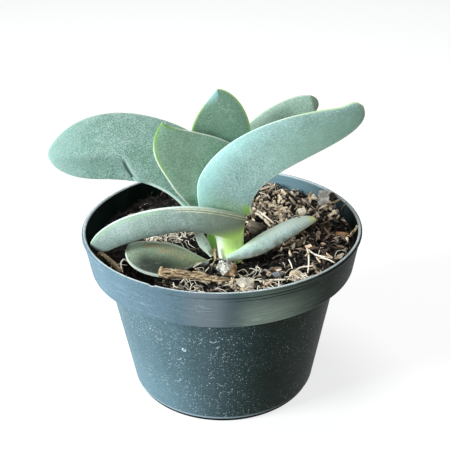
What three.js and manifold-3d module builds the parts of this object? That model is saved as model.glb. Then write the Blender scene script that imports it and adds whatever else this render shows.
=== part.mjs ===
// A potted propeller plant: thick sickle-shaped leaves on a short stem, in a thin nursery pot of bark mix.
// Millimetres, +Z up. The origin is the centre of the pot's foot, on the ground. The front faces -Y.

import * as THREE from 'three';
import { ParametricGeometry } from 'three/addons/geometries/ParametricGeometry.js';
import { mergeVertices } from 'three/addons/utils/BufferGeometryUtils.js';
import Module from 'manifold-3d';

const wasm = await Module();
wasm.setup();

// Driving dimensions of the pot. Radii are of the outside.
const POT_HEIGHT = 68.5;
const LIP_RADIUS = 54;
const LIP_DEPTH = 1.6;
const LIP_PROUD = 0.5;
const BAND_HEIGHT = 15;
const BAND_FOOT_RADIUS = 51.5;
const BODY_TOP_RADIUS = 46;
const BODY_FOOT_RADIUS = 37.4;
const FOOT_RADIUS = 36.4;
const FOOT_HEIGHT = 1.8;
const WALL = 1;
const FLOOR = 1.4;
const EDGE = 0.4;
const POT_SIDES = 64;
const DRAIN_HOLES = 6;
const DRAIN_RADIUS = 4;
const DRAIN_CIRCLE = 26;
const DRAIN_SIDES = 16;

// Driving dimensions of the bark mix. Its surface is highest at the back right.
const SOIL_LEVEL = 61.7;
const SOIL_RISE_X = 0.035;
const SOIL_RISE_Y = 0.025;
const SOIL_RELIEF = 0.7;
const SOIL_SIDES = 52;
const SOIL_RINGS = 12;
const CHIPS = 34;
const CHIP_REACH = 44;
const CHIP_PROUD = 0.3;
const CHIP_HALF_SIZES = [[2.4, 4.8], [1.1, 2.2], [0.9, 1.5]];
const CHIP_TURNS = [[-20, 20], [-25, 25], [0, 360]];

// Pieces that touch keep this much air, and repeated bits are drawn from one seed.
const GAP = 0.3;
const WELD = 1e-4;
const SEED = 7;

const BAND_FOOT = POT_HEIGHT - BAND_HEIGHT;
const LIP_FOOT = POT_HEIGHT - LIP_DEPTH;
const BAND_TOP_RADIUS = LIP_RADIUS - LIP_PROUD;

// Half width of a blade on one side of its midline: the value at the base, the widest value, where along the
// blade that is, how blunt the outline stays from there on, and how round the tip is.
function side(base, widest, at, blunt, tip = 0.5) {
  return { base, widest, at, blunt, tip };
}

// Each leaf has a midline of four Bezier points from base to tip, the directions that its front face looks
// in, its two margins as seen from the front with the tip up, and half its thickness. Bow lifts both margins
// off the midline, as a share of the half width at the base and at the tip. Leaves go from front to back.
const LEAVES = {
  leaf_left_lower: {
    midline: [[6.5, -18.5, 77.5], [-11, -24, 83], [-32, -23, 80.5], [-49, -16, 66]],
    faces: [[0, -1, 0.15], [-0.2, -0.9, 0.4]],
    right: side(5, 5.6, 0.35, 2.6),
    left: side(6, 6.3, 0.55, 2.6),
    half: 2.4, bow: [0.1, 0], rows: 20, around: 16,
  },
  leaf_right_soil: {
    midline: [[3.3, -18.5, 61], [13.5, -19, 64.5], [25.5, -14, 71], [36.5, -8, 73]],
    faces: [[0, -0.9, 0.5], [0.2, -0.9, 0.5]],
    right: side(3, 4.4, 0.4, 1.8, 0.7),
    left: side(2.8, 4.2, 0.45, 2.2, 0.7),
    half: 2.4, bow: [0, 0], rows: 16, around: 14,
  },
  leaf_right_upper: {
    midline: [[0.5, -19, 81], [-2, -22, 102.5], [23.5, -24, 110.5], [48, -20, 119.5]],
    faces: [[-0.1, -0.9, 0.3], [-0.1, -0.85, 0.5]],
    right: side(10.5, 10.8, 0.3, 2.4),
    left: side(10, 8.5, 0.25, 2.6),
    half: 2.8, bow: [0.2, 0], lean: -0.3, rows: 20, around: 16,
  },
  leaf_front_young: {
    midline: [[-4, -17, 81], [-6.5, -20, 95], [-14, -21, 105], [-19.5, -21, 116]],
    faces: [[0.1, -0.9, 0.3], [0.1, -0.8, 0.5]],
    right: side(9, 17, 0.45, 1.2, 1.05),
    left: side(8.5, 11, 0.5, 2.4, 0.6),
    half: 1.8, bow: [0.2, 0.1], rows: 16, around: 16,
  },
  leaf_left_soil: {
    midline: [[-0.5, -17.5, 57.5], [-11, -21.5, 65], [-24, -21, 65], [-36.5, -16, 65.5]],
    faces: [[0, -0.5, 0.85], [-0.1, -0.45, 0.88]],
    right: side(2.5, 5, 0.5, 2.6),
    left: side(2.5, 10, 0.6, 2.4),
    half: 2.2, bow: [0, 0], rows: 16, around: 16,
  },
  shoot_leaf_pale: {
    midline: [[-3, -16, 59.5], [-5.5, -15, 64], [-6.5, -14, 68.5], [-8, -13, 74]],
    faces: [[-0.3, -0.9, 0.2], [-0.3, -0.9, 0.2]],
    right: side(1.5, 3.5, 0.5, 2.2),
    left: side(1.5, 3.8, 0.5, 2.2),
    half: 1.2, bow: [0.1, 0.1], rows: 10, around: 12,
  },
  leaf_left_upper: {
    midline: [[-3, -12, 79], [-13.5, -6, 102], [-39, -8, 105.5], [-62, -12, 101]],
    faces: [[0.3, -0.8, 0.5], [0.05, -0.75, 0.75], [0, -0.75, 0.6]],
    right: side(12, 14.5, 0.42, 2),
    left: side(9, 12, 0.6, 2.6),
    half: 2.2, bow: [0.1, 0.05], rows: 24, around: 18,
    fold: { at: 0.5, slant: 0.1, line: 0.42, depth: 3, run: 0.08, fade: 0.5 },
  },
  leaf_back_young: {
    midline: [[0, -12, 87], [1.5, -10, 98], [1.5, -9, 113.5], [-1, -10, 124]],
    faces: [[0.1, -0.9, 0.2], [0, -0.9, 0.3]],
    right: side(8, 10, 0.5, 1.8, 0.65),
    left: side(8, 12, 0.5, 1.5, 0.75),
    half: 1.8, bow: [0.2, 0.1], rows: 14, around: 14,
  },
  shoot_leaf_green: {
    midline: [[-2.5, -14, 59.5], [-3.5, -13, 63], [-4, -11.5, 66], [-5, -10.5, 70.5]],
    faces: [[0.3, -0.9, 0.2], [0.3, -0.9, 0.2]],
    right: side(1.5, 2.6, 0.5, 2.2),
    left: side(1.5, 2.6, 0.5, 2.2),
    half: 1, bow: [0.1, 0.1], rows: 9, around: 12,
  },
  leaf_right_back: {
    midline: [[2.5, -8, 87], [6, -2, 101.5], [20, 3, 107.5], [35.5, 4, 114]],
    faces: [[-0.2, -0.9, 0.4], [-0.1, -0.8, 0.6]],
    right: side(6, 5.2, 0.4, 7),
    left: side(5.5, 6.2, 0.4, 6),
    half: 2.2, bow: [0.2, 0], rows: 14, around: 14,
  },
};

// The stem's centre and radius, from the root crown up to the growing point.
const STEM = [
  { at: [3.3, -16, 36], radius: 2.2 },
  { at: [3.3, -16, 50], radius: 4 },
  { at: [3.3, -16, 61], radius: 4.6 },
  { at: [3.4, -16, 70], radius: 4.7 },
  { at: [3.4, -16.4, 77], radius: 5.7 },
  { at: [2.6, -14.8, 84], radius: 4.4 },
  { at: [1.4, -12.4, 90], radius: 1.8 },
];
const STEM_SIDES = 16;
const STEM_ROWS = 18;

// Bits that stand out on top of the mix. A lump has a centre, half sizes, and turns in degrees about X, Y, Z.
const LUMPS = {
  bark_flake: { at: [42.5, 21.5, 65.8], half: [3.6, 1.2, 3.2], turn: [-12, 10, -63] },
  bark_lump: { at: [12.5, 2, 63.2], half: [4.6, 3.6, 3], turn: [0, 10, 20] },
  orange_chip: { at: [45.2, 0.5, 63.3], half: [2.9, 1.2, 0.9], turn: [15, -5, -5] },
  pale_chip: { at: [7.6, -37, 62], half: [3.2, 3, 1.1], turn: [35, -10, 20] },
  stone: { at: [1.2, -25.5, 62.6], half: [2.9, 2.5, 3.8], turn: [-10, 15, 0] },
  pebble: { at: [32.5, 15.5, 64.2], half: [2.1, 1.9, 1.7], turn: [0, 0, 0] },
};
const LUMP_JITTER = 0.16;

// A stick has its two ends and its half width and half height.
const STICKS = {
  bark_stick: { from: [-22, -30.5, 61.9], to: [3.8, -35, 61.9], half: [1.9, 1.6] },
  twig: { from: [-45.5, -15, 61.2], to: [-35.5, -27.5, 61.4], half: [0.9, 0.8] },
};
const STICK_JITTER = 0.14;
const STICK_END = 0.6;
const STICK_ROWS = 8;
const STICK_SIDES = 8;

const COLOURS = {
  pot: 0x4f6468, soil: 0x2e241d, stem: 0x9dc569,
  leaf_left_lower: 0x9cb3a4, leaf_right_soil: 0x9fbfb4, leaf_right_upper: 0x9dc0ba,
  leaf_front_young: 0x86b096, leaf_left_soil: 0x7f8f6d, shoot_leaf_pale: 0x9bb99c,
  leaf_left_upper: 0x94b5aa, leaf_back_young: 0x82ab92, shoot_leaf_green: 0x7fae4c,
  leaf_right_back: 0x97ada0, bark_flake: 0x8b8782, bark_lump: 0x55493a, orange_chip: 0xb4773f,
  pale_chip: 0xb3ab97, stone: 0xaeb0a5, pebble: 0xb3a48e, bark_stick: 0xa98a63, twig: 0x8d7a5e,
};
const ROUGHNESS = { pot: 0.45, soil: 0.95, leaf: 0.55, stem: 0.5, bit: 0.9 };

// A repeatable stream of numbers from 0 to 1: each is worked out from the one before.
const STREAM_FACTOR = 1664525;
const STREAM_STEP = 1013904223;
const STREAM_LENGTH = 2 ** 32;

function randomStream(seed) {
  let state = seed;
  return () => {
    state = (state * STREAM_FACTOR + STREAM_STEP) % STREAM_LENGTH;
    return state / STREAM_LENGTH;
  };
}

function vector(point) {
  return new THREE.Vector3(...point);
}

function degrees(angles) {
  return new THREE.Euler(...angles.map(THREE.MathUtils.degToRad));
}

function smooth(value) {
  return THREE.MathUtils.smoothstep(value, 0, 1);
}

// Turns a closed geometry into a solid, with its shared corners merged and its faces pointing out.
function solid(geometry) {
  const plain = geometry.clone();
  plain.deleteAttribute('normal');
  plain.deleteAttribute('uv');
  const merged = mergeVertices(plain, WELD);
  const corners = merged.index.array;
  const points = new Float32Array(merged.attributes.position.array);
  const faces = [];
  let volume = 0;
  const [p, q, r] = [new THREE.Vector3(), new THREE.Vector3(), new THREE.Vector3()];
  for (let i = 0; i < corners.length; i += 3) {
    const [a, b, c] = corners.slice(i, i + 3);
    if (a === b || b === c || c === a) continue;
    faces.push([a, b, c]);
    p.fromArray(points, 3 * a);
    q.fromArray(points, 3 * b);
    r.fromArray(points, 3 * c);
    volume += p.dot(q.cross(r));
  }
  const outward = volume > 0 ? faces : faces.map(([a, b, c]) => [a, c, b]);
  return new wasm.Manifold(new wasm.Mesh({
    numProp: 3, vertProperties: points, triVerts: new Uint32Array(outward.flat()),
  }));
}

// The biggest body of a solid. A cut can leave loose scraps beside it.
function largest(shape) {
  return shape.decompose().reduce((a, b) => (b.volume() > a.volume() ? b : a));
}

function cut(shape, tools) {
  return largest(tools.reduce((rest, tool) => rest.subtract(tool), shape));
}

// A closed surface of rings. ring(t, angle) gives a point, and each end closes on the point of end(t).
function ringSolid(ring, end, rows, around) {
  const stacks = rows + 2;
  return solid(new ParametricGeometry((u, v, target) => {
    const row = Math.round(v * stacks);
    const column = Math.round(u * around) % around;
    const t = THREE.MathUtils.clamp((row - 1) / rows, 0, 1);
    const closing = row === 0 || row === stacks;
    target.copy(closing ? end(t) : ring(t, column / around * 2 * Math.PI));
  }, around, stacks));
}

// The half width at s: it swells smoothly from the base to the widest place, then closes to the tip.
function halfWidth(s, { base, widest, at, blunt, tip }) {
  if (s < at) return base + (widest - base) * smooth(s / at);
  return widest * (1 - Math.min((s - at) / (1 - at), 1) ** blunt) ** tip;
}

// The direction that the front of a leaf looks in at s, blended between the directions given for it.
function facing(faces, s) {
  const steps = faces.length - 1;
  const step = Math.min(Math.floor(s * steps), steps - 1);
  const [from, to] = [vector(faces[step]).normalize(), vector(faces[step + 1]).normalize()];
  return from.lerp(to, smooth(s * steps - step));
}

// How sharp a blade's margins are, how much its rows crowd towards the tip, and where across the blade a fold
// starts and how far it takes to reach its whole depth, as shares of the half width.
const MARGIN_SHARPNESS = 1.4;
const TIP_CROWDING = 1.35;
const FOLD_START = 0.12;
const FOLD_SPREAD = 0.75;

// A blade: a lens-shaped section with thinned margins, carried along the midline. A fold pushes the left
// margin back from one slanting line on, so that the base part stands in front of the outer part.
function leafSolid(leaf, grow = 0) {
  const midline = new THREE.CubicBezierCurve3(...leaf.midline.map(vector));
  const { fold, lean = 0 } = leaf;
  const ring = (t, angle) => {
    const across = Math.cos(angle);
    const bulge = Math.sign(Math.sin(angle)) * Math.abs(Math.sin(angle)) ** MARGIN_SHARPNESS;
    let s = 1 - (1 - t) ** TIP_CROWDING;
    if (fold) {
      const slide = Math.min(smooth(s / fold.at), smooth((1 - s) / (1 - fold.at)));
      s = THREE.MathUtils.clamp(s + fold.slant * across * slide, 0, 1);
    }
    const along = midline.getTangent(Math.min(s, 0.999));
    const sideways = new THREE.Vector3().crossVectors(along, facing(leaf.faces, s)).normalize();
    const outward = new THREE.Vector3().crossVectors(sideways, along);
    const widths = [halfWidth(s, leaf.right) + grow, halfWidth(s, leaf.left) + grow];
    const thickness = leaf.half * Math.sqrt(Math.max(1 - s ** 4, 0)) + grow;
    const bow = leaf.bow[0] + (leaf.bow[1] - leaf.bow[0]) * s;
    let lift = bulge * thickness * (1 + lean * across) + bow * Math.max(...widths) * across * across;
    if (fold) {
      const reach = smooth((-across - FOLD_START) / FOLD_SPREAD);
      const past = t - fold.line;
      lift -= fold.depth * reach * smooth(past / fold.run) * (1 - smooth(past / fold.fade));
    }
    return midline.getPoint(s).addScaledVector(sideways, across * widths[across > 0 ? 0 : 1])
      .addScaledVector(outward, lift);
  };
  return ringSolid(ring, (t) => midline.getPoint(t), leaf.rows, leaf.around);
}

// The stem: round sections that follow its centre line.
function stemSolid(grow = 0) {
  const centre = new THREE.CatmullRomCurve3(STEM.map(({ at }) => vector(at)));
  const girth = new THREE.SplineCurve(STEM.map(({ radius }) => new THREE.Vector2(radius, 0)));
  const middle = (t) => {
    const point = centre.getPoint(t);
    point.z += grow * (2 * t - 1);
    return point;
  };
  const ring = (t, angle) => {
    const radius = girth.getPoint(t).x + grow;
    return middle(t).add(new THREE.Vector3(radius * Math.cos(angle), radius * Math.sin(angle), 0));
  };
  return ringSolid(ring, middle, STEM_ROWS, STEM_SIDES);
}

// A rough lump: a twenty-sided ball, split once if it is big, with its corners pushed in and out.
function lumpSolid({ at, half, turn }, random, detail, grow = 0) {
  const ball = new THREE.IcosahedronGeometry(1, detail);
  ball.deleteAttribute('normal');
  ball.deleteAttribute('uv');
  const geometry = mergeVertices(ball, WELD);
  const corners = geometry.attributes.position;
  for (let i = 0; i < corners.count; i += 1) {
    const push = 1 + LUMP_JITTER * (2 * random() - 1);
    corners.setXYZ(i, corners.getX(i) * push, corners.getY(i) * push, corners.getZ(i) * push);
  }
  geometry.scale(...half.map((size) => size + grow * (1 + LUMP_JITTER)));
  geometry.applyQuaternion(new THREE.Quaternion().setFromEuler(degrees(turn)));
  geometry.translate(...at);
  return solid(geometry);
}

// A stick: a flattened, uneven rod between two points, with rounded ends.
function stickSolid({ from, to, half }, random, grow = 0) {
  const [start, finish] = [vector(from), vector(to)];
  const along = finish.clone().sub(start).normalize();
  const sideways = new THREE.Vector3().crossVectors(along, new THREE.Vector3(0, 0, 1)).normalize();
  const upward = new THREE.Vector3().crossVectors(sideways, along);
  start.addScaledVector(along, -grow);
  finish.addScaledVector(along, grow);
  const corners = (STICK_ROWS + 1) * STICK_SIDES;
  const uneven = Array.from({ length: corners }, () => 1 + STICK_JITTER * (2 * random() - 1));
  const middle = (t) => start.clone().lerp(finish, t);
  const ring = (t, angle) => {
    const side = Math.round(angle / (2 * Math.PI) * STICK_SIDES);
    const swell = STICK_END + (1 - STICK_END) * Math.sin(Math.PI * t);
    const fullness = swell * uneven[Math.round(t * STICK_ROWS) * STICK_SIDES + side];
    return middle(t).addScaledVector(sideways, (half[0] * fullness + grow) * Math.cos(angle))
      .addScaledVector(upward, (half[1] * fullness + grow) * Math.sin(angle));
  };
  return ringSolid(ring, middle, STICK_ROWS, STICK_SIDES);
}

// The height of the mix: a gentle slope with humps and hollows of two sizes.
function soilHeight(x, y) {
  const humps = Math.sin(x / 4.3 + 0.9) * Math.sin(y / 3.7 + 0.4) + 0.5 * Math.sin(x / 2.1 - y / 2.6);
  return SOIL_LEVEL + SOIL_RISE_X * x + SOIL_RISE_Y * y + SOIL_RELIEF * humps;
}

// The pot's inside radius at a height: the tapered body below the shoulder, the rim band above it.
function insideRadius(z) {
  if (z < BAND_FOOT + WALL) {
    return THREE.MathUtils.mapLinear(z, FOOT_HEIGHT, BAND_FOOT, BODY_FOOT_RADIUS, BODY_TOP_RADIUS) - WALL;
  }
  return THREE.MathUtils.mapLinear(z, BAND_FOOT, LIP_FOOT, BAND_FOOT_RADIUS, BAND_TOP_RADIUS) - WALL;
}

// The pot: one closed profile turned about the axis, outside from the ground up and inside back down,
// with round drain holes through its floor.
function potSolid() {
  const profile = [
    [0, 0], [FOOT_RADIUS, 0], [FOOT_RADIUS, FOOT_HEIGHT - EDGE], [BODY_FOOT_RADIUS, FOOT_HEIGHT],
    [BODY_TOP_RADIUS, BAND_FOOT - EDGE], [BODY_TOP_RADIUS + EDGE, BAND_FOOT],
    [BAND_FOOT_RADIUS, BAND_FOOT], [BAND_TOP_RADIUS, LIP_FOOT],
    [LIP_RADIUS, LIP_FOOT + EDGE], [LIP_RADIUS, POT_HEIGHT - EDGE], [LIP_RADIUS - EDGE, POT_HEIGHT],
    [LIP_RADIUS - LIP_PROUD - WALL, POT_HEIGHT],
    [insideRadius(BAND_FOOT + 2 * WALL), BAND_FOOT + WALL],
    [BODY_TOP_RADIUS - WALL, BAND_FOOT + WALL - EDGE],
    [BODY_FOOT_RADIUS - WALL, FOOT_HEIGHT + EDGE], [FOOT_RADIUS - WALL - EDGE, FLOOR], [0, FLOOR],
  ];
  const shell = new THREE.LatheGeometry(profile.map((point) => new THREE.Vector2(...point)), POT_SIDES);
  shell.rotateX(Math.PI / 2);
  const holes = Array.from({ length: DRAIN_HOLES }, (_, i) => {
    const turn = (i + 0.5) / DRAIN_HOLES * 2 * Math.PI;
    const hole = new THREE.CylinderGeometry(DRAIN_RADIUS, DRAIN_RADIUS, 4 * FLOOR, DRAIN_SIDES);
    hole.rotateX(Math.PI / 2);
    hole.translate(DRAIN_CIRCLE * Math.cos(turn), DRAIN_CIRCLE * Math.sin(turn), FLOOR / 2);
    return solid(hole);
  });
  return cut(solid(shell), holes);
}

// The mix: it fills the pot's inside less the gap, with the humped surface on top.
function soilBody() {
  const bottom = FOOT_HEIGHT + 2 * GAP;
  const ledge = BAND_FOOT + WALL + GAP;
  const sides = [
    [insideRadius(bottom) - GAP, bottom],
    [BODY_TOP_RADIUS - WALL - GAP, ledge],
    [insideRadius(ledge) - GAP, ledge],
  ];
  const ring = (t, angle) => {
    const step = Math.round(t * (sides.length + SOIL_RINGS));
    const [right, back] = [Math.cos(angle), Math.sin(angle)];
    if (step < sides.length) {
      const [radius, z] = sides[step];
      return new THREE.Vector3(radius * right, radius * back, z);
    }
    const rim = insideRadius(SOIL_LEVEL);
    const edge = insideRadius(soilHeight(rim * right, rim * back) - GAP) - GAP;
    const radius = edge * (1 - (step - sides.length) / (SOIL_RINGS + 1));
    return new THREE.Vector3(radius * right, radius * back, soilHeight(radius * right, radius * back));
  };
  const end = (t) => new THREE.Vector3(0, 0, t < 0.5 ? bottom : soilHeight(0, 0));
  return ringSolid(ring, end, sides.length + SOIL_RINGS, SOIL_SIDES);
}

// One bark chip, lying about flat and sunk by almost half into the surface.
function chipSolid(random) {
  const between = ([low, high]) => low + (high - low) * random();
  const reach = CHIP_REACH * Math.sqrt(random());
  const angle = 2 * Math.PI * random();
  const [x, y] = [reach * Math.cos(angle), reach * Math.sin(angle)];
  const half = CHIP_HALF_SIZES.map(between);
  const turn = CHIP_TURNS.map(between);
  return lumpSolid({ at: [x, y, soilHeight(x, y) + CHIP_PROUD], half, turn }, random, 0);
}

// The plant, from the front leaf to the back: each leaf gives way to the stem and to those in front of it.
const stem = stemSolid();
const stemClearance = stemSolid(GAP);
const leafSolids = {};
const leafClearances = [];
for (const [name, leaf] of Object.entries(LEAVES)) {
  leafSolids[name] = cut(leafSolid(leaf), [stemClearance, ...leafClearances]);
  leafClearances.push(leafSolid(leaf, GAP));
}

// The loose bits: each is made from its own seed, so that its clearance in the mix has the same form.
const bitSolids = {};
const bitClearances = [];
Object.entries(LUMPS).forEach(([name, lump], i) => {
  bitSolids[name] = cut(lumpSolid(lump, randomStream(SEED + i), 1), [stemClearance, ...leafClearances]);
  bitClearances.push(lumpSolid(lump, randomStream(SEED + i), 1, GAP));
});
Object.entries(STICKS).forEach(([name, stick], i) => {
  bitSolids[name] = cut(stickSolid(stick, randomStream(SEED - i)), [stemClearance, ...leafClearances]);
  bitClearances.push(stickSolid(stick, randomStream(SEED - i), GAP));
});

const chipRandom = randomStream(SEED);
const chips = Array.from({ length: CHIPS }, () => chipSolid(chipRandom));
const mixture = chips.reduce((body, chip) => body.add(chip), soilBody());
const soil = cut(mixture, [stemClearance, ...leafClearances, ...bitClearances]);

// The finished meshes, in one group for the pot with its mix and one for the plant.
function addMesh(group, name, shape, roughness) {
  const { vertProperties, triVerts } = shape.getMesh();
  const geometry = new THREE.BufferGeometry();
  geometry.setAttribute('position', new THREE.BufferAttribute(vertProperties, 3));
  geometry.setIndex(new THREE.BufferAttribute(triVerts, 1));
  geometry.computeVertexNormals();
  const material = new THREE.MeshStandardMaterial({ color: COLOURS[name], roughness, metalness: 0 });
  const mesh = new THREE.Mesh(geometry, material);
  mesh.name = name;
  group.add(mesh);
}

const potted = new THREE.Group();
const holder = new THREE.Group();
const plant = new THREE.Group();
potted.add(holder, plant);
addMesh(holder, 'pot', potSolid(), ROUGHNESS.pot);
addMesh(holder, 'soil', soil, ROUGHNESS.soil);
Object.entries(bitSolids).forEach(([name, shape]) => addMesh(holder, name, shape, ROUGHNESS.bit));
addMesh(plant, 'stem', stem, ROUGHNESS.stem);
Object.entries(leafSolids).forEach(([name, shape]) => addMesh(plant, name, shape, ROUGHNESS.leaf));

export default potted;
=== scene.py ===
# A potted propeller plant: thick blue-green sickle leaves on a short stem, in a thin nursery pot of bark mix.
# Sizes are written in millimetres and put into the meshes in metres. +Z is up and the front faces -Y.

import math

import bmesh
import bpy
import numpy as np
from mathutils import Matrix, Vector


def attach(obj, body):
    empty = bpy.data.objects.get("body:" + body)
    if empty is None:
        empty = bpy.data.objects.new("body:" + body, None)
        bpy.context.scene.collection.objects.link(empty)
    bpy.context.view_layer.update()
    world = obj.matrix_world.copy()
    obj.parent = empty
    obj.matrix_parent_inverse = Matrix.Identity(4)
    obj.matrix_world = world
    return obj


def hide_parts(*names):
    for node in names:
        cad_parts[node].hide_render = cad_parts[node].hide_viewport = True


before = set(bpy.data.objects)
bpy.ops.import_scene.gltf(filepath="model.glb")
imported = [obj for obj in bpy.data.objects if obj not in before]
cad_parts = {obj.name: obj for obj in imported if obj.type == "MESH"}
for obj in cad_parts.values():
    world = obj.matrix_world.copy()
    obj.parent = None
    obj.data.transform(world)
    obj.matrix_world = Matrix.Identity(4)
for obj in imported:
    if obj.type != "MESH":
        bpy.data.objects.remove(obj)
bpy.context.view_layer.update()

# The view: the plant is seen from the front, from 29 cm away and 27 degrees above, with the camera turned a
# little clockwise. The light is a wide soft window at the left, a weak one above and a pale room.
VIEW_TARGET = Vector((0.00114, 0, 0.06653))
VIEW_DISTANCE = 0.2947
VIEW_DOWN = math.radians(26.8)
VIEW_ROLL = math.radians(-0.67)
VIEW_LENS = 60.23
VIEW_SENSOR = 36
VIEW_NEAREST = 0.01
ROOM_COLOUR = (0.93, 0.97, 1, 1)
ROOM_STRENGTH = 0.26

camera_data = bpy.data.cameras.new("view")
camera_data.lens = VIEW_LENS
camera_data.sensor_width = VIEW_SENSOR
camera_data.clip_start = VIEW_NEAREST
camera = bpy.data.objects.new("view", camera_data)
eye = VIEW_TARGET + VIEW_DISTANCE * Vector((0, -math.cos(VIEW_DOWN), math.sin(VIEW_DOWN)))
tilt = Matrix.Rotation(math.pi / 2 - VIEW_DOWN, 4, "X")
camera.matrix_world = Matrix.Translation(eye) @ tilt @ Matrix.Rotation(VIEW_ROLL, 4, "Z")
bpy.context.scene.collection.objects.link(camera)
bpy.context.scene.camera = camera
bpy.context.scene.view_settings.view_transform = "Standard"


def add_window(name, place, size, power, colour):
    """A square soft light at a place in metres, turned to look at the plant."""
    data = bpy.data.lights.new(name, "AREA")
    data.size = size
    data.energy = power
    data.color = colour
    light = bpy.data.objects.new(name, data)
    light.location = place
    light.rotation_euler = (VIEW_TARGET - Vector(place)).to_track_quat("-Z", "Y").to_euler()
    bpy.context.scene.collection.objects.link(light)


add_window("window_left", (-0.7, -0.32, 0.42), 0.3, 9.3, (0.9, 0.97, 1))
add_window("window_above", (-0.1, 0.25, 0.9), 0.4, 3.4, (1, 0.99, 0.96))
world = bpy.data.worlds.new("room")
world.use_nodes = True
world.node_tree.nodes["Background"].inputs["Color"].default_value = ROOM_COLOUR
world.node_tree.nodes["Background"].inputs["Strength"].default_value = ROOM_STRENGTH
bpy.context.scene.world = world

# The floor is a plain white tabletop, which isn't part of the plant. Its finish is the first one, so the
# two classes that make finishes come with it.
FLOOR_REACH = 2000
FLOOR_COLOURS = (0.36, 0.36, 0.355, 1), (0.34, 0.34, 0.34, 1)
FLOOR_GLOW = 0.76


class Reading:
    """What a node gives, one value for each point of a surface. Sums on readings add Math nodes."""

    def __init__(self, finish, socket):
        self.finish = finish
        self.socket = socket

    def __add__(self, other):
        return self.finish.maths("ADD", self, other)

    def __sub__(self, other):
        return self.finish.maths("SUBTRACT", self, other)

    def __rsub__(self, other):
        return self.finish.maths("SUBTRACT", other, self)

    def __mul__(self, other):
        return self.finish.maths("MULTIPLY", self, other)

    def __pow__(self, other):
        return self.finish.maths("POWER", self, other)

    def __abs__(self):
        return self.finish.maths("ABSOLUTE", self)

    __radd__ = __add__
    __rmul__ = __mul__

    def rise(self, start, end):
        """A mask that goes smoothly from 0 where the reading is at the start to 1 where it is at the
        end."""
        return self.finish.node("ShaderNodeMapRange", {"interpolation_type": "SMOOTHSTEP"},
                                {"Value": self, "From Min": start, "From Max": end})

    def near(self, value, core, end):
        """A mask that is 1 as far as the core from a value, and fades to 0 at the end."""
        return abs(self - value).rise(end, core)


def paint(colour):
    """The linear colour of three screen values from 0 to 255. A reading or a linear colour stays as it
    is."""
    if isinstance(colour, Reading) or len(colour) == 4:
        return colour
    screen = np.array(colour) / 255
    linear = np.where(screen > 0.04045, ((screen + 0.055) / 1.055) ** 2.4, screen / 12.92)
    return (*linear.tolist(), 1)


class Finish:
    """A material with a first colour, on which others are coated. What is the same all over it goes on the
    shader's own sockets, by name."""

    def __init__(self, name, colour, **constants):
        self.colour = colour
        self.material = bpy.data.materials.new(name)
        self.material.use_nodes = True
        self.tree = self.material.node_tree
        self.shader = self.tree.nodes["Principled BSDF"]
        for socket, value in constants.items():
            self.shader.inputs[socket.replace("_", " ")].default_value = value
        self.at = self.place((1, 1, 1))

    def node(self, kind, settings, inputs, output=0):
        """One node: its settings come first, then the values or links of its sockets."""
        made = self.tree.nodes.new(kind)
        for setting, value in settings.items():
            setattr(made, setting, value)
        for key, value in inputs.items():
            if isinstance(value, Reading):
                self.tree.links.new(value.socket, made.inputs[key])
            else:
                made.inputs[key].default_value = value
        return Reading(self, made.outputs[output])

    def maths(self, operation, *values):
        """A Math node on its values, in their order."""
        return self.node("ShaderNodeMath", {"operation": operation}, dict(enumerate(values)))

    def place(self, stretch):
        """Where a point is, in millimetres, with each axis stretched."""
        metres = self.node("ShaderNodeTexCoord", {}, {}, "Object")
        return self.node("ShaderNodeVectorMath", {"operation": "MULTIPLY"},
                         {0: metres, 1: [1000 * part for part in stretch]})

    def parts(self, vector):
        """The three numbers of a vector."""
        outputs = self.node("ShaderNodeSeparateXYZ", {}, {0: vector}).socket.node.outputs
        return [Reading(self, outputs[axis]) for axis in range(3)]

    def carried(self, name):
        """The three numbers that the mesh carries at each point under a name."""
        return self.parts(self.node("ShaderNodeAttribute", {"attribute_name": name}, {}, "Vector"))

    def noise(self, scale, detail=2, roughness=0.5, distortion=0, stretch=None):
        """Soft noise from about 0.3 to 0.7, with scale humps to the millimetre."""
        place = self.place(stretch) if stretch else self.at
        return self.node("ShaderNodeTexNoise", {}, {
            "Vector": place, "Scale": scale, "Detail": detail, "Roughness": roughness,
            "Distortion": distortion})

    def cells(self, scale, output="Distance"):
        """Cells round scattered points: the distance to the nearest, or its own random colour."""
        return self.node("ShaderNodeTexVoronoi", {}, {"Vector": self.at, "Scale": scale}, output)

    def dots(self, scale, core, end, pick, soft=0.05):
        """Round dots at scattered points, full up to the core's radius, for the points whose chance is
        above the pick."""
        chance = self.parts(self.cells(scale, "Color"))[0]
        return self.cells(scale).rise(end, core) * chance.rise(pick, pick + soft)

    def blend(self, first, second, share):
        """A colour between two, or the second one laid over the first by a mask."""
        return self.node("ShaderNodeMix", {"data_type": "RGBA"},
                         {0: share, 6: paint(first), 7: paint(second)}, 2)

    def coat(self, colour, share):
        """Lays a colour over what the finish shows so far, by a mask."""
        self.colour = self.blend(self.colour, colour, share)
        self.feed(Base_Color=self.colour)

    def glow(self, strength, colour):
        """Painted light: a weak glow in a colour, which stands in for sunlight or for light that comes
        through a thin part.
        """
        self.shader.inputs["Emission Strength"].default_value = strength
        self.feed(Emission_Color=colour)

    def relief(self, height, depth):
        """Small bumps: the height is a reading of about 0 to 1, and the depth is in millimetres."""
        return self.node("ShaderNodeBump", {}, {"Height": height, "Distance": depth / 1000}, "Normal")

    def feed(self, **links):
        """Links readings to the shader's sockets, by name."""
        for socket, reading in links.items():
            self.tree.links.new(reading.socket, self.shader.inputs[socket.replace("_", " ")])


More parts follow.
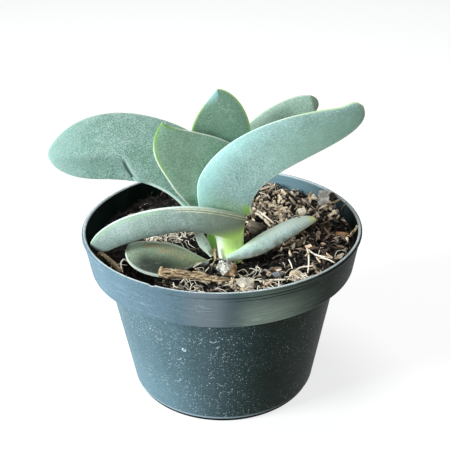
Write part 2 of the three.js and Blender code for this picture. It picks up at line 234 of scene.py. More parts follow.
def add_mesh(name, finish, points, faces, smooth=True, weld=0, **carried):
    """An object from points in millimetres and faces by corner number. Each carried array gives three
    numbers a point to the material, and weld merges the points that are closer than it."""
    mesh = bpy.data.meshes.new(name)
    mesh.from_pydata(np.asarray(points) / 1000, [], faces)
    for label, values in carried.items():
        layer = mesh.attributes.new(label, "FLOAT_VECTOR", "POINT")
        layer.data.foreach_set("vector", np.asarray(values, dtype=np.float32).ravel())
    if weld:
        edit = bmesh.new()
        edit.from_mesh(mesh)
        bmesh.ops.remove_doubles(edit, verts=edit.verts, dist=weld / 1000)
        edit.to_mesh(mesh)
        edit.free()
    mesh.polygons.foreach_set("use_smooth", np.full(len(mesh.polygons), smooth))
    mesh.materials.append(finish.material)
    piece = bpy.data.objects.new(name, mesh)
    bpy.context.scene.collection.objects.link(piece)
    return piece


tabletop = Finish("white_tabletop", FLOOR_COLOURS[0], Roughness=0.9, Emission_Color=(1, 1, 1, 1),
                  Emission_Strength=FLOOR_GLOW)
tabletop.coat(FLOOR_COLOURS[1], tabletop.noise(0.004))
floor_corners = FLOOR_REACH * np.array([[-1, -1, 0], [1, -1, 0], [1, 1, 0], [-1, 1, 0]])
add_mesh("tabletop", tabletop, floor_corners, [[0, 1, 2, 3]], smooth=False)

# The pot: one thin shell of dark green plastic, blown or moulded, with a flared rim band, a rolled lip,
# fine rings left by the mould below the lip, a step-in foot and six drain holes. Dust and lime dull it.
# Painted light and sheen brighten its left side, its band and the inside of its back right wall, and painted
# shade darkens its mould rings and its foot.
POT_PROFILE = [
    (35, 0), (36.5, 0), (36.8, 0.3), (36.8, 1.4), (37, 1.6), (37.4, 1.75), (37.65, 2.1), (45.9, 52.8),
    (46.2, 53.3), (46.6, 53.45), (51.1, 53.5), (51.45, 53.7), (51.6, 54.1), (53.45, 66.7), (53.6, 66.95),
    (53.9, 67.1), (54, 67.4), (54, 67.9), (53.85, 68.3), (53.5, 68.5), (53, 68.5), (52.65, 68.3),
    (52.5, 67.9), (50.75, 54.8), (50.5, 54.5), (45.1, 54.2), (44.9, 53.7), (36.55, 2.4), (36.1, 1.6),
    (35, 1.4),
]
POT_SIDES = 360
POT_STEP = 0.9
POT_OUTSIDE = 51
POT_RINGS = [(66, 0.12, 0.22), (65.2, 0.07, 0.2), (60.4, 0.04, 0.3), (55.2, 0.06, 0.25)]
POT_WOBBLE = 0.12
NICK_TURN = math.radians(-116.5) % (2 * math.pi)
NICK_DEPTH = 0.7
NICK_WIDTH = 0.013
NICK_BOTTOM = 67
FLOOR_LEVELS = (0, 1.4)
FLOOR_EDGE = 35
FLOOR_MIDDLE = 12
HOLES = 6
HOLE_CIRCLE = 26
HOLE_RADIUS = 4
HOLE_ROWS = 6
STAIN_PLACE = (-7.6, -51.3, 62)


def around(sides):
    """Evenly spaced turns of a full circle."""
    return np.linspace(0, 2 * math.pi, sides, endpoint=False)


def round_points(radius, turn, height):
    """Points at a distance from the middle line, a turn round it and a height."""
    return np.stack(np.broadcast_arrays(radius * np.cos(turn), radius * np.sin(turn), height), -1)


def densified(profile, step):
    """A profile with points added along its straight runs, no further apart than the step."""
    profile = np.array(profile, dtype=float)
    lengths = np.concatenate([[0], np.cumsum(np.linalg.norm(np.diff(profile, axis=0), axis=1))])
    stations = np.union1d(lengths, np.arange(0, lengths[-1], step))
    return np.stack([np.interp(stations, lengths, column) for column in profile.T], 1)


def grid_faces(rows, columns):
    """Four-cornered faces between neighbouring points of a grid whose last column joins its first."""
    row, column = np.meshgrid(np.arange(rows - 1), np.arange(columns), indexing="ij")
    following = (column + 1) % columns
    corners = [row * columns + column, row * columns + following,
               (row + 1) * columns + following, (row + 1) * columns + column]
    return np.stack(corners, -1).reshape(-1, 4)


def fan_faces(ring, middle):
    """Three-cornered faces from each edge of a closed ring of points to one point in its middle."""
    return np.stack([ring, np.roll(ring, -1), np.full(len(ring), middle)], 1)


def floor_patches():
    """The pot's floor with its holes. Each hole has a sixth of a ring round it: the points go in straight
    lines from the hole's edge to the edge of the sixth, at the bottom and the top, and down the hole's
    wall."""
    arc = np.linspace(-0.5, 0.5, POT_SIDES // HOLES + 1) * 2 * math.pi / HOLES
    spoke = np.linspace(FLOOR_EDGE, FLOOR_MIDDLE, HOLE_ROWS + 2)[1:-1]
    edge = np.concatenate([
        FLOOR_EDGE * np.exp(1j * arc), spoke * np.exp(1j * arc[-1]),
        FLOOR_MIDDLE * np.exp(1j * arc[::-1]), spoke[::-1] * np.exp(1j * arc[0])])
    hole = HOLE_CIRCLE + HOLE_RADIUS * (edge - HOLE_CIRCLE) / abs(edge - HOLE_CIRCLE)
    level = edge + (hole - edge) * np.linspace(0, 1, HOLE_ROWS)[:, None]
    flat = np.concatenate([level, level[::-1]])
    sixths = flat * np.exp(1j * (np.arange(HOLES) + 0.5) * 2 * math.pi / HOLES)[:, None, None]
    height = np.repeat(FLOOR_LEVELS, HOLE_ROWS)[:, None]
    points = np.stack(np.broadcast_arrays(sixths.real, sixths.imag, height), -1)
    faces = grid_faces(*flat.shape)[:, ::-1] + np.arange(HOLES)[:, None, None] * flat.size
    return points.reshape(-1, 3), faces.reshape(-1, 4)


def add_piece(name, node, slot, finish, points, faces, **kept):
    """A piece of the plant, on its one body, which stands in for a CAD node if it has one. The slot is not
    used.
    """
    piece = add_mesh(name, finish, points, faces, **kept)
    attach(piece, "root")
    if node:
        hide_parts(node)


pot_turn = around(POT_SIDES)
profile = densified(POT_PROFILE, POT_STEP)
pot_radius = np.repeat(profile[:, :1], POT_SIDES, 1)
pot_height = np.repeat(profile[:, 1:], POT_SIDES, 1)
outer = np.arange(len(profile)) < np.argmax(profile[:, 1]) + 2
for ring_height, ring_depth, ring_width in POT_RINGS:
    ring_dip = ring_depth * np.exp(-((pot_height - ring_height) / ring_width) ** 2)
    pot_radius -= np.where(outer[:, None] & (pot_radius > POT_OUTSIDE), ring_dip, 0)
loose = pot_height / profile[:, 1].max()
pot_radius += POT_WOBBLE * loose * (np.sin(2 * pot_turn + 0.6) + 0.5 * np.sin(5 * pot_turn + pot_height / 19))
nick = np.exp(-((pot_turn - NICK_TURN) / NICK_WIDTH) ** 2)
pot_height -= NICK_DEPTH * nick * np.clip((pot_height - NICK_BOTTOM) / 1.5, 0, 1)
shell = round_points(pot_radius, pot_turn, pot_height).reshape(-1, 3)
patch_points, patch_faces = floor_patches()
pot_points = [shell, patch_points]
pot_faces = grid_faces(len(profile), POT_SIDES).tolist() + (patch_faces + len(shell)).tolist()
for floor_level in FLOOR_LEVELS:
    first = sum(len(part) for part in pot_points)
    pot_points.append(np.vstack([round_points(FLOOR_MIDDLE, pot_turn, floor_level), [0, 0, floor_level]]))
    ring = first + np.arange(POT_SIDES)
    pot_faces += fan_faces(ring if floor_level else ring[::-1], first + POT_SIDES).tolist()
pot_points = np.vstack(pot_points)
wall = np.zeros((len(pot_points), 3))
wall[:len(shell), 0] = np.repeat(~outer, POT_SIDES)

plastic = Finish("pot_plastic", (18, 30, 22), IOR=1.13)
x, y, z = plastic.parts(plastic.at)
inner = plastic.carried("wall")[0]
outer_side = 1 - inner
band = z.rise(52.5, 53.6)
body = 1 - band
cloud = plastic.noise(0.06, 3)
fine = plastic.noise(1.6, 3, 0.65)
grain = plastic.noise(4)
upright = plastic.noise(0.2, 3, stretch=(1, 1, 0.04))
streak = plastic.noise(1, 4, 0.7, 0.3, stretch=(0.12, 0.12, 2.4))


def pot_hairs(scale, thin, broken):
    """Thin curved hairs: rings round scattered points, broken into arcs by a noise."""
    return plastic.cells(scale).near(0.36, thin * 0.3, thin) * plastic.noise(broken, 1).rise(0.55, 0.59)


# Painted light: lighter green clouds towards the left, where the window light falls.
plastic.coat((30, 48, 46), cloud.rise(0.35, 0.65) * x.rise(36, -10))
# Dust, with painted sheen: a pale blue film laid only on the left side, where the window light falls, and
# strongest on the band.
lit_dusty_side = (x * 0.9 + y * 0.25 + 16 * cloud).rise(17, -52)
dust_and_sheen = (0.62 + 0.42 * fine.rise(0.4, 0.7) + 0.25 * grain.rise(0.45, 0.7)) * lit_dusty_side
dust_and_sheen = dust_and_sheen * (0.62 + 0.4 * cloud + 0.4 * upright)
dust_and_sheen = dust_and_sheen * (0.72 + 0.14 * body) + x.rise(30, -24) * 0.24 * band
dust_and_sheen = dust_and_sheen + body * z.rise(34, 4) * x.rise(6, -24) * 0.2
plastic.coat(plastic.blend((116, 146, 162), (122, 156, 170), body), dust_and_sheen * outer_side)
# Painted sheen on the band: a green-grey patch right of the middle that fades towards the lip, and a grey
# strip left of the middle.
sheen = x.rise(0, 12) * x.rise(38, 14) * band * (0.2 + 1.2 * streak) * (1 - 0.6 * z.rise(58, 66))
plastic.coat((132, 148, 136), sheen * outer_side)
plastic.coat((126, 132, 138), x.near(-5, 2, 11) * band * 0.5 * outer_side)
lit_inside = inner * y.rise(2, 44) * x.rise(-8, 22)
plastic.coat((128, 160, 172), lit_inside * (0.6 + 0.6 * streak))
# Pale scuffs, with painted sheen: strongest on the band's left side, where the window light falls, and faded
# out to the right.
rubs_and_sheen = streak.rise(0.54, 0.7) * cloud.rise(0.4, 0.58) * (1 - x.rise(-16, 20) * 0.8)
plastic.coat((188, 208, 216), rubs_and_sheen * (0.75 - 0.6 * body) * outer_side)
specks = plastic.dots(0.5, 0.06, 0.12, 0.45) + 0.9 * plastic.dots(0.95, 0.09, 0.18, 0.45)
specks = specks + 0.45 * plastic.dots(1.7, 0.12, 0.24, 0.4)
hairs = 0.75 * pot_hairs(0.15, 0.015, 0.4) + 0.5 * pot_hairs(0.3, 0.024, 0.6)
crowded = (0.35 + 0.65 * plastic.noise(0.08).rise(0.38, 0.54)) * (1 - x.rise(-6, 18) * 0.7)
limed = (1.3 * specks + hairs * (1 - abs(x + 10).rise(6, 28) * 0.85)) * crowded * (0.05 + 0.95 * body)
plastic.coat((232, 246, 250), limed * outer_side)
from_stain = plastic.node("ShaderNodeVectorMath", {"operation": "DISTANCE"},
                          {0: plastic.at, 1: STAIN_PLACE}, "Value")
plastic.coat((158, 170, 176), (from_stain - 1.2).near(0.8 * cloud, 0.05, 0.5) * fine.rise(0.42, 0.6) * 0.35)
# Painted shade in the mould rings below the lip: two dark lines.
groove_shade = z.near(66.1, 0.12, 0.4) * x.rise(-30, 20) + z.near(64.9, 0.08, 0.25) * x.rise(-4, 12)
plastic.coat((14, 20, 18), groove_shade * outer_side * 0.8)
# Painted highlight: a thin pale line along the top of the lip, weaker at the right.
lip_highlight = z.rise(67.8, 68.15) * ((x * x + y * y) ** 0.5).rise(53.75, 53.3) * (1 - 0.4 * x.rise(0, 46))
plastic.coat((224, 234, 236), lip_highlight * (0.7 + 0.4 * fine.rise(0.42, 0.58)))
# Painted highlight on the foot's step, strongest at the left, and painted shade on the step-in foot below it.
plastic.coat((160, 182, 190), z.rise(1.7, 1.95) * z.rise(3, 2.4) * x.rise(34, -10) * 0.8)
plastic.coat((14, 20, 18), z.rise(1.7, 1.4) * 0.9)
plastic.feed(Roughness=0.34 + 0.25 * fine + 0.15 * limed,
             Normal=plastic.relief(0.7 * grain + 2 * rubs_and_sheen + 2 * limed, 0.05))
add_piece("nursery_pot", "pot", "pot_plastic", plastic, pot_points, pot_faces, weld=0.001, wall=wall)

# The stem: one short soft lime trunk that swells under the leaves. A painted white highlight runs down its
# left side, and a painted glow stands for the light that comes through it. It goes down into the mix as a
# thin root crown.
STEM_CENTRES = [
    (3.3, -16, 36), (3.3, -16, 50), (3.1, -16, 61), (2.8, -16, 69.5), (2.1, -16, 74), (1.2, -15.8, 78),
    (1.8, -14.8, 84), (1.4, -12.4, 90),
]
STEM_HALVES = [(2.2, 2.2), (4, 4), (4.7, 4.6), (5.2, 4.6), (6, 4.9), (6.6, 4.8), (5, 4.2), (1.8, 1.8)]
STEM_ROWS = 90
STEM_SIDES = 72


def through(values, stations):
    """A smooth curve through evenly spaced values, by Catmull and Rom's rule, read at stations from 0 to
    1."""
    values = np.asarray(values, dtype=float)
    padded = np.concatenate([[2 * values[0] - values[1]], values, [2 * values[-1] - values[-2]]])
    steps = len(values) - 1
    spot = np.clip(np.asarray(stations) * steps, 0, steps)
    first = np.minimum(spot.astype(int), steps - 1)
    share = (spot - first).reshape(spot.shape + (1,) * (values.ndim - 1))
    before, start, end, after = (padded[first + step] for step in range(4))
    bend = 2 * before - 5 * start + 4 * end - after
    twist = 3 * start - before - 3 * end + after
    return 0.5 * (2 * start + (end - before) * share + bend * share ** 2 + twist * share ** 3)


def ripple(points, size, seed, waves=14):
    """Uneven humps from about -1 to 1: waves of about the given size in random directions, added up."""
    draw = np.random.default_rng(seed)
    headings = draw.normal(size=(waves, 3))
    headings *= draw.uniform(0.7, 1.4, (waves, 1)) / np.linalg.norm(headings, axis=1, keepdims=True)
    phases = draw.uniform(0, 2 * math.pi, waves)
    waves_there = np.sin(np.asarray(points) @ headings.T * 2 * math.pi / size + phases)
    return waves_there.sum(-1) * math.sqrt(2 / waves) / 2


def closed_rings(rings):
    """The points and faces of a tube of rings whose two ends close on the middles of the end rings."""
    rows, columns = rings.shape[:2]
    points = np.vstack([rings.reshape(-1, 3), rings[0].mean(0), rings[-1].mean(0)])
    ring = np.arange(columns)
    faces = grid_faces(rows, columns).tolist()
    faces += fan_faces(ring[::-1], rows * columns).tolist()
    faces += fan_faces(ring + (rows - 1) * columns, rows * columns + 1).tolist()
    return points, faces


stem_rows = np.linspace(0, 1, STEM_ROWS)
stem_turn = around(STEM_SIDES)
stem_ribs = 1 + 0.006 * np.sin(5 * stem_turn + 4 * stem_rows[:, None]) + 0.004 * np.sin(11 * stem_turn + 1)
stem_halves = through(STEM_HALVES, stem_rows)[:, None] * stem_ribs[..., None]
stem_rings = np.repeat(through(STEM_CENTRES, stem_rows)[:, None], STEM_SIDES, 1)
stem_rings[..., :2] += stem_halves * round_points(1, stem_turn, 0)[:, :2]

flesh = Finish("stem_green", (200, 240, 128), Roughness=0.42, Subsurface_Weight=0.25,
               Subsurface_Scale=0.004)
x, y, z = flesh.parts(flesh.at)
streak = flesh.noise(0.8, 3, stretch=(1, 1, 0.15))
grain = flesh.noise(3)
# Painted highlight: the left side is near white, in the colour and in the glow.
highlit_side = x.rise(2, -1.2)
flesh.coat((214, 246, 156), streak.rise(0.35, 0.65))
flesh.coat((244, 255, 240), highlit_side * 0.92)
flesh.coat((150, 172, 110), z.rise(62, 59))
flesh.coat((160, 196, 120), z.rise(74, 80))
flesh.coat((222, 240, 214), grain.rise(0.56, 0.7) * 0.35)
# Painted light: the stem glows, near white on its left side and lime elsewhere.
flesh.glow(0.34, flesh.blend((138, 165, 92), (236, 248, 228), highlit_side))
flesh.feed(Normal=flesh.relief(grain + 2 * streak, 0.08))
add_piece("plant_stem", "stem", "stem_green", flesh, *closed_rings(stem_rings))

# The leaves: ten thick blades of water-filled flesh with thin pale margins, under a skin of grey-blue wax
# that is full of fine pale dots. They grow crosswise in pairs, and the oldest lie on the mix.
LEAF_ROWS = 170
LEAF_SIDES = 104
MARGIN_SHARPNESS = 1.4
TIP_CROWDING = 1.35
FOLD_START = 0.22
FOLD_SPREAD = 0.26
FOLD_TUCK = 0.09
FLARE_REACH = 0.42
CUSP_PLACE = 0.972
CUSP_SPREADS = (0.05, 0.03)
LEAF_UNEVEN = 0.16


def smooth(value):
    """0 below 0, 1 above 1, and a soft step between."""
    value = np.clip(value, 0, 1)
    return value * value * (3 - 2 * value)


def unit(vectors):
    """Each vector divided by its length."""
    return vectors / np.linalg.norm(vectors, axis=-1, keepdims=True)


def half_width(s, base, widest, at, blunt, tip=0.5, flare=0, cusp=0):
    """It swells smoothly from the base to the widest place, at a share of the length, then closes to the
    tip by a power that is the greater the blunter the outline stays. A flare widens it towards the base
    again, and a cusp just before the tip."""
    closing = widest * (1 - np.clip((s - at) / (1 - at), 0, 1) ** blunt) ** tip
    width = np.where(s < at, base + (widest - base) * smooth(s / at), closing)
    point = np.exp(-((s - CUSP_PLACE) / np.where(s < CUSP_PLACE, *CUSP_SPREADS)) ** 2)
    return width + flare * (1 - smooth(s / FLARE_REACH)) + cusp * point


def blade(seed, midline, faces, right, left, half, bow, lean=0, fold=None):
    """A leaf: a lens-shaped section with thinned margins, carried along a Bezier midline of four points.
    The section's front looks in directions blended between those given, each margin has its own half width,
    and bow lifts both margins off the midline. A fold pushes the left margin back from one slanting line
    on. Each point carries how far along it is, how far across, and its distance to the margin in
    millimetres."""
    t = np.linspace(0, 1, LEAF_ROWS)[:, None] * np.ones(LEAF_SIDES)
    angle = np.ones((LEAF_ROWS, 1)) * around(LEAF_SIDES)
    across = np.cos(angle)
    bulge = np.sign(np.sin(angle)) * abs(np.sin(angle)) ** MARGIN_SHARPNESS
    s = 1 - (1 - t) ** TIP_CROWDING
    if fold:
        slide = np.minimum(smooth(s / fold["at"]), smooth((1 - s) / (1 - fold["at"])))
        s = np.clip(s - fold["slant"] * np.minimum(across, 0) ** 2 * slide, 0, 1)
    a, b, c, d = (np.array(point, dtype=float) for point in midline)
    u = s[..., None]
    middle = (1 - u) ** 3 * a + 3 * (1 - u) ** 2 * u * b + 3 * (1 - u) * u ** 2 * c + u ** 3 * d
    v = np.minimum(u, 0.999)
    along = unit((1 - v) ** 2 * (b - a) + 2 * (1 - v) * v * (c - b) + v ** 2 * (d - c))
    looks = unit(np.array(faces, dtype=float))
    steps = len(looks) - 1
    step = np.minimum((s * steps).astype(int), steps - 1)
    share = smooth(s * steps - step)[..., None]
    facing = looks[step] * (1 - share) + looks[step + 1] * share
    sideways = unit(np.cross(along, facing))
    outward = np.cross(sideways, along)
    crease_shade, brink_highlight, tuck = 0 * s, 0 * s, 0
    if fold:
        past = (t - fold["line"]) / fold["run"]
        reach = smooth((-across - FOLD_START) / FOLD_SPREAD)
        # The fold's masks for the finish: a painted shade in the crease, and a painted highlight on the brink
        # where the front part ends.
        crease_shade = smooth(past + 0.5) * (1 - smooth((past - 1) / fold["shade"])) * reach
        brink_highlight = smooth(past + 2) * (1 - smooth(past + 0.4)) * reach
        tuck = smooth(past) * (1 - smooth(past * fold["run"] / fold["fade"])) * reach
    widths = half_width(s, **right), half_width(s, **left) * (1 - FOLD_TUCK * tuck)
    width = np.where(across > 0, *widths)
    thickness = half * np.sqrt(np.clip(1 - s ** 4, 0, 1))
    bow_there = bow[0] + (bow[1] - bow[0]) * s
    lift = bulge * thickness * (1 + lean * across) + bow_there * np.maximum(*widths) * across ** 2
    if fold:
        lift -= fold["depth"] * tuck
    skin = middle + sideways * (across * width)[..., None] + outward * lift[..., None]
    swell = LEAF_UNEVEN * (ripple(skin, 14, seed) + 0.35 * ripple(skin, 5, seed + 1)) * abs(bulge)
    skin += outward * (swell * np.clip(thickness / half, 0, 1) * smooth(s * 8))[..., None]
    points, corners = closed_rings(skin)
    marks = np.stack([s, across, (1 - abs(across)) * width], -1).reshape(-1, 3)
    ends = [[s[0].mean(), 0, 4], [1, 0, 0]]
    folds = np.vstack([np.stack([crease_shade, brink_highlight, bulge], -1).reshape(-1, 3), [[0, 0, 0], [0, 1, 0]]])
    return points, corners, np.vstack([marks, ends]), folds


def leaf_skin(name, upper, deep, base, margin, margin_width=0.85, dots=0.42, base_reach=0.25, rims=(1, 1)):
    """Waxy skin. The upper and deep colours drift into each other in clouds of two sizes, the base colour
    comes up from the stem, fine dots stand on all of it, and a thin line of the margin's colour runs round
    the blade, as strong at the right and the left as the rims say."""
    skin = Finish(name, upper, Specular_IOR_Level=0.4, Subsurface_Weight=0.12, Subsurface_Scale=0.003)
    along, across, edge = skin.carried("blade")
    patch = skin.noise(0.22, 5, 0.7, 0.5)
    speck = skin.noise(2.6, 2, 0.6)
    white_dot = skin.dots(0.8, 0.08, 0.2, 0.45)
    skin.coat(deep, skin.noise(0.07, 3).rise(0.36, 0.64))
    skin.coat(base, along.rise(base_reach, 0) * 0.85)
    skin.coat((206, 230, 222), patch.rise(0.5, 0.68) * dots * 0.42)
    skin.coat((74, 126, 96), patch.rise(0.5, 0.32) * dots * 0.42)
    skin.coat((222, 242, 234), speck.rise(0.5, 0.64) * dots * 0.6)
    skin.coat((56, 92, 76), speck.rise(0.5, 0.36) * dots * 0.95)
    skin.coat((232, 248, 240), white_dot * dots * 0.9)
    skin.coat((64, 70, 58), skin.dots(0.45, 0.06, 0.12, 0.84, 0.04) * 0.8)
    rim = across.rise(-0.3, 0.3) * (rims[0] - rims[1]) + rims[1]
    skin.coat(margin, edge.rise(margin_width, margin_width * 0.5) * rim * 0.95)
    skin.feed(Normal=skin.relief(0.8 * speck + 0.5 * white_dot + patch, 0.1), Roughness=0.46 + 0.2 * speck)
    return skin, along, across, edge


def add_leaf(name, node, slot, skin, seed, **shape):
    """Adds a leaf with all that its skin reads, and gives its points."""
    points, corners, marks, folds = blade(seed, **shape)
    add_piece(name, node, slot, skin, points, corners, blade=marks, fold=folds)
    return points


def side(base, widest, at, blunt, tip=0.5, flare=0, cusp=0):
    """What one margin gives to its half width, by name."""
    return dict(base=base, widest=widest, at=at, blunt=blunt, tip=tip, flare=flare, cusp=cusp)


# The lower left leaf hangs down over the rim. A dry tan line runs along its upper margin near the stem, and
# its thin base is lime, with a painted glow for the light that comes through it.
skin, along, across, edge = leaf_skin(
    "leaf_lower_skin", (144, 163, 158), (126, 146, 136), (150, 178, 110), (236, 248, 236),
    base_reach=0.02, margin_width=0.8, dots=0.34, rims=(0.8, 0.1))
skin.coat((146, 160, 126), along.rise(0.4, 0.1) * 0.55)
tan_line = edge.near(0.95, 0.06, 0.26) + 0.8 * edge.near(1.75, 0.04, 0.22)
tan_line = tan_line * across.rise(0, 0.1) * along.rise(0.48, 0.38)
skin.coat((230, 224, 186), tan_line * (0.6 + 0.5 * skin.noise(0.8).rise(0.4, 0.55)))
skin.coat((150, 196, 132), edge.near(1.3, 0.3, 0.7) * across.rise(0, 0.2) * along.rise(0.45, 0.55) * 0.28)
lime_and_glow = (along * 6 + across * 1.3 + 1.3).rise(1.8, 0.1)
skin.coat((202, 242, 136), lime_and_glow * 0.95)
# Painted light: the lime base glows.
skin.glow(0.3, skin.blend((0, 0, 0), (190, 236, 110), lime_and_glow))
add_leaf(
    "leaf_left_low", "leaf_left_lower", "leaf_grey_green", skin, 11,
    midline=[(6.9, -19.5, 76.8), (-7.6, -27.5, 83.4), (-32, -23, 80.5), (-49, -16, 66)],
    faces=[(0, -1, 0.15), (-0.2, -0.9, 0.4)],
    right=side(4.2, 5.7, 0.4, 2.6), left=side(3, 4.5, 0.88, 1.7, flare=3.4), half=2.4, bow=(0.1, 0))

# The right leaf on the mix comes from the stem's foot. Its tip is yellow with one dark spot, and soil has
# stained its lower edge brown.
skin, along, across, edge = leaf_skin(
    "leaf_right_soil_skin", (230, 252, 244), (210, 238, 230), (214, 246, 224), (236, 250, 232))
skin.coat((236, 252, 240), across.rise(0.1, -0.6) * along.rise(0, 0.3) * 0.8)
stain = edge.rise(3.2, 0.6) * across.rise(0, 0.3) * along.rise(0.1, 0.3) * along.rise(0.8, 0.6)
skin.coat((126, 124, 106), stain * skin.noise(0.45, 3).rise(0.4, 0.58) * 0.6)
skin.coat((240, 254, 236), along.rise(0.72, 0.9) * 0.6)
skin.coat((232, 244, 150), along.rise(0.88, 0.98) * 0.85)
skin.coat((48, 44, 34), along.near(0.84, 0.006, 0.014) * across.near(-0.8, 0.04, 0.12) * 0.9)
right_low = add_leaf(
    "leaf_right_low", "leaf_right_soil", "leaf_grey_green", skin, 12,
    midline=[(1.6, -22, 63.4), (11.2, -20.6, 65.4), (24.1, -14, 72.5), (35.6, -8, 72.6)],
    faces=[(-0.2, -0.7, 0.7), (-0.1, -0.7, 0.7)],
    right=side(1.1, 3.7, 0.42, 1.4), left=side(1.8, 3.9, 0.5, 3.3, 0.54), half=2, bow=(0, 0))

# The upper right leaf is the largest one in front, a sickle that sweeps up and out to the right. It ends in
# a cusp with a pale lime rim and a dry tip.
skin, along, across, edge = leaf_skin(
    "leaf_upper_right_skin", (142, 176, 171), (126, 158, 152), (146, 182, 132), (222, 242, 222),
    base_reach=0.2, margin_width=0.6, rims=(0.3, 1))
# Painted shade: darker towards the tip and the lower margin, away from the light.
skin.coat((122, 156, 136), along.rise(0.3, 0.75) * across.rise(-0.9, 0.6) * 0.7)
skin.coat((188, 222, 166), along.rise(0.66, 0.8) * edge.rise(1, 0.4) * across.rise(0, -0.3) * 0.9)
skin.coat((196, 190, 150), along.rise(0.985, 0.998) * 0.6)
# Painted highlight: pale cyan along the upper margin near the base, where the light falls.
skin.coat((162, 216, 212), along.rise(0.75, 0.35) * across.rise(0.2, -0.9) * 0.5)
sheath = along.rise(0.16, 0.08) * across.rise(0.6, 0.85)
skin.coat((150, 192, 92), sheath)
skin.coat((232, 248, 210), sheath * edge.rise(0.9, 0.4))
add_leaf(
    "leaf_right_high", "leaf_right_upper", "leaf_grey_green", skin, 13,
    midline=[(0.5, -17.2, 80.9), (-1.6, -23.5, 102.3), (24, -25, 114.7), (48.3, -20, 120)],
    faces=[(-0.1, -0.9, 0.3), (-0.1, -0.85, 0.5)], half=2.8, bow=(0.2, 0), lean=-0.3,
    right=side(10.8, 9.7, 0.5, 2.9, 0.43), left=side(8, 10.1, 0.18, 1.2, 0.72, cusp=1.8))

# The young front leaf stands up from between the two upper leaves and clasps the stem with its wide base.
# It is greener than the old ones, with a lime cusp and lime along the top of its margin.
skin, along, across, edge = leaf_skin(
    "leaf_front_young_skin", (148, 190, 162), (138, 178, 148), (142, 186, 158), (234, 248, 230),
    margin_width=0.62, dots=0.36)
skin.coat((140, 192, 96), edge.near(0.9, 0.2, 0.8) * across.rise(0.2, -0.2) * along.rise(0.45, 0.7) * 0.6)
skin.coat((132, 186, 96), along.rise(0.8, 0.98) * edge.rise(2.4, 0.3))
add_leaf(
    "young_leaf_front", "leaf_front_young", "leaf_young_green", skin, 14,
    midline=[(-4, -14.4, 79.7), (-4.4, -17, 91.9), (-13.3, -18, 103.7), (-19.8, -18.6, 115.3)],
    faces=[(0.1, -0.9, 0.3), (0.1, -0.8, 0.5)],
    right=side(8.1, 17.4, 0.42, 1.4, 1.3), left=side(6.9, 10, 0.49, 4.3, 0.74), half=1.8, bow=(0.06, 0.06))

# The left leaf on the mix is the oldest, olive and dull, with a dry tan scar, red-brown dots and a scratch.
# A painted shade of the plant above darkens its lower half, and a painted highlight lightens its left end.
skin, along, across, edge = leaf_skin(
    "leaf_left_soil_skin", (134, 150, 119), (108, 128, 98), (186, 196, 138), (240, 252, 236),
    margin_width=1.1, base_reach=0.5)
shade = across.rise(0.05, -0.6) * along.rise(0.15, 0.55) * (1 - 0.85 * along.rise(0.74, 0.9))
skin.coat((20, 32, 24), shade * edge.rise(0.6, 1.3) * 0.92)
# Painted highlight on the left end.
skin.coat((206, 226, 210), along.rise(0.74, 0.95) * across.rise(-0.6, 0.3) * 0.5)
skin.coat((232, 244, 222), edge.near(1.25, 0.15, 0.5) * across.rise(0, 0.2) * along.rise(0.9, 0.8) * 0.8)
scar = (across - 0.9 * along).near(-0.35, 0.1, 0.5) * along.rise(0.25, 0.4) * along.rise(0.95, 0.8)
skin.coat((164, 142, 100), scar * skin.noise(0.8, 4, 0.7, stretch=(0.35, 1, 1)).rise(0.42, 0.6) * 0.85)
skin.coat((110, 84, 56), skin.cells(0.6).rise(0.26, 0.16) * skin.noise(0.2).rise(0.54, 0.6) * 0.4)
scratch = abs(along * 1.6 + across - 0.55 + 0.25 * skin.noise(0.3)).rise(0.04, 0.012) * along.rise(0.5, 0.6)
skin.coat((170, 184, 152), scratch * skin.noise(1.4).rise(0.4, 0.6) * 0.2)
left_ground = add_leaf(
    "leaf_left_ground", "leaf_left_soil", "leaf_olive", skin, 15,
    midline=[(-6, -20.5, 60.8), (-13.4, -22, 65.4), (-24, -21, 65.8), (-35.2, -16, 66.4)],
    faces=[(0, -0.5, 0.85), (-0.1, -0.45, 0.88)],
    right=side(1.5, 4.8, 0.52, 2.2), left=side(1, 10.2, 0.58, 2.4), half=2.2, bow=(0, 0))

# Two leaves of a side shoot come out of the mix at the stem's foot, thin and soft as new leaves are: a pale
# one with dirt on it, in front of a bright green one.
skin, along, across, edge = leaf_skin(
    "shoot_pale_skin", (232, 252, 236), (206, 236, 210), (206, 232, 186), (250, 255, 250), rims=(0.4, 1))
dirt = along.rise(0.6, 0.3) * skin.noise(0.7, 3).rise(0.5, 0.62) * across.rise(-0.4, 0.6)
skin.coat((126, 108, 84), dirt * 0.7)
shoot_pale = add_leaf(
    "shoot_pale", "shoot_leaf_pale", "leaf_grey_green", skin, 16,
    midline=[(-3.9, -18.6, 63.3), (-6, -18.4, 66.5), (-7.6, -18, 69.5), (-9.4, -17.6, 74.5)],
    faces=[(-0.3, -0.9, 0.2), (-0.3, -0.9, 0.2)],
    right=side(0.8, 2.1, 0.5, 2.2), left=side(0.8, 2.1, 0.5, 2.2), half=1.1, bow=(0.1, 0.1))
skin = leaf_skin("shoot_green_skin", (150, 204, 98), (124, 178, 84), (74, 62, 40), (190, 226, 150),
                 dots=0.15, base_reach=0.75)[0]
shoot_green = add_leaf(
    "shoot_green", "shoot_leaf_green", "leaf_bright_green", skin, 17,
    midline=[(-2.2, -16.8, 63), (-2.7, -16.6, 65.5), (-3.5, -16.4, 68), (-5, -16, 72)],
    faces=[(0.3, -0.9, 0.2), (0.3, -0.9, 0.2)],
    right=side(0.8, 2.2, 0.5, 2.2), left=side(0.8, 2, 0.5, 2.2), half=0.9, bow=(0.1, 0.1))

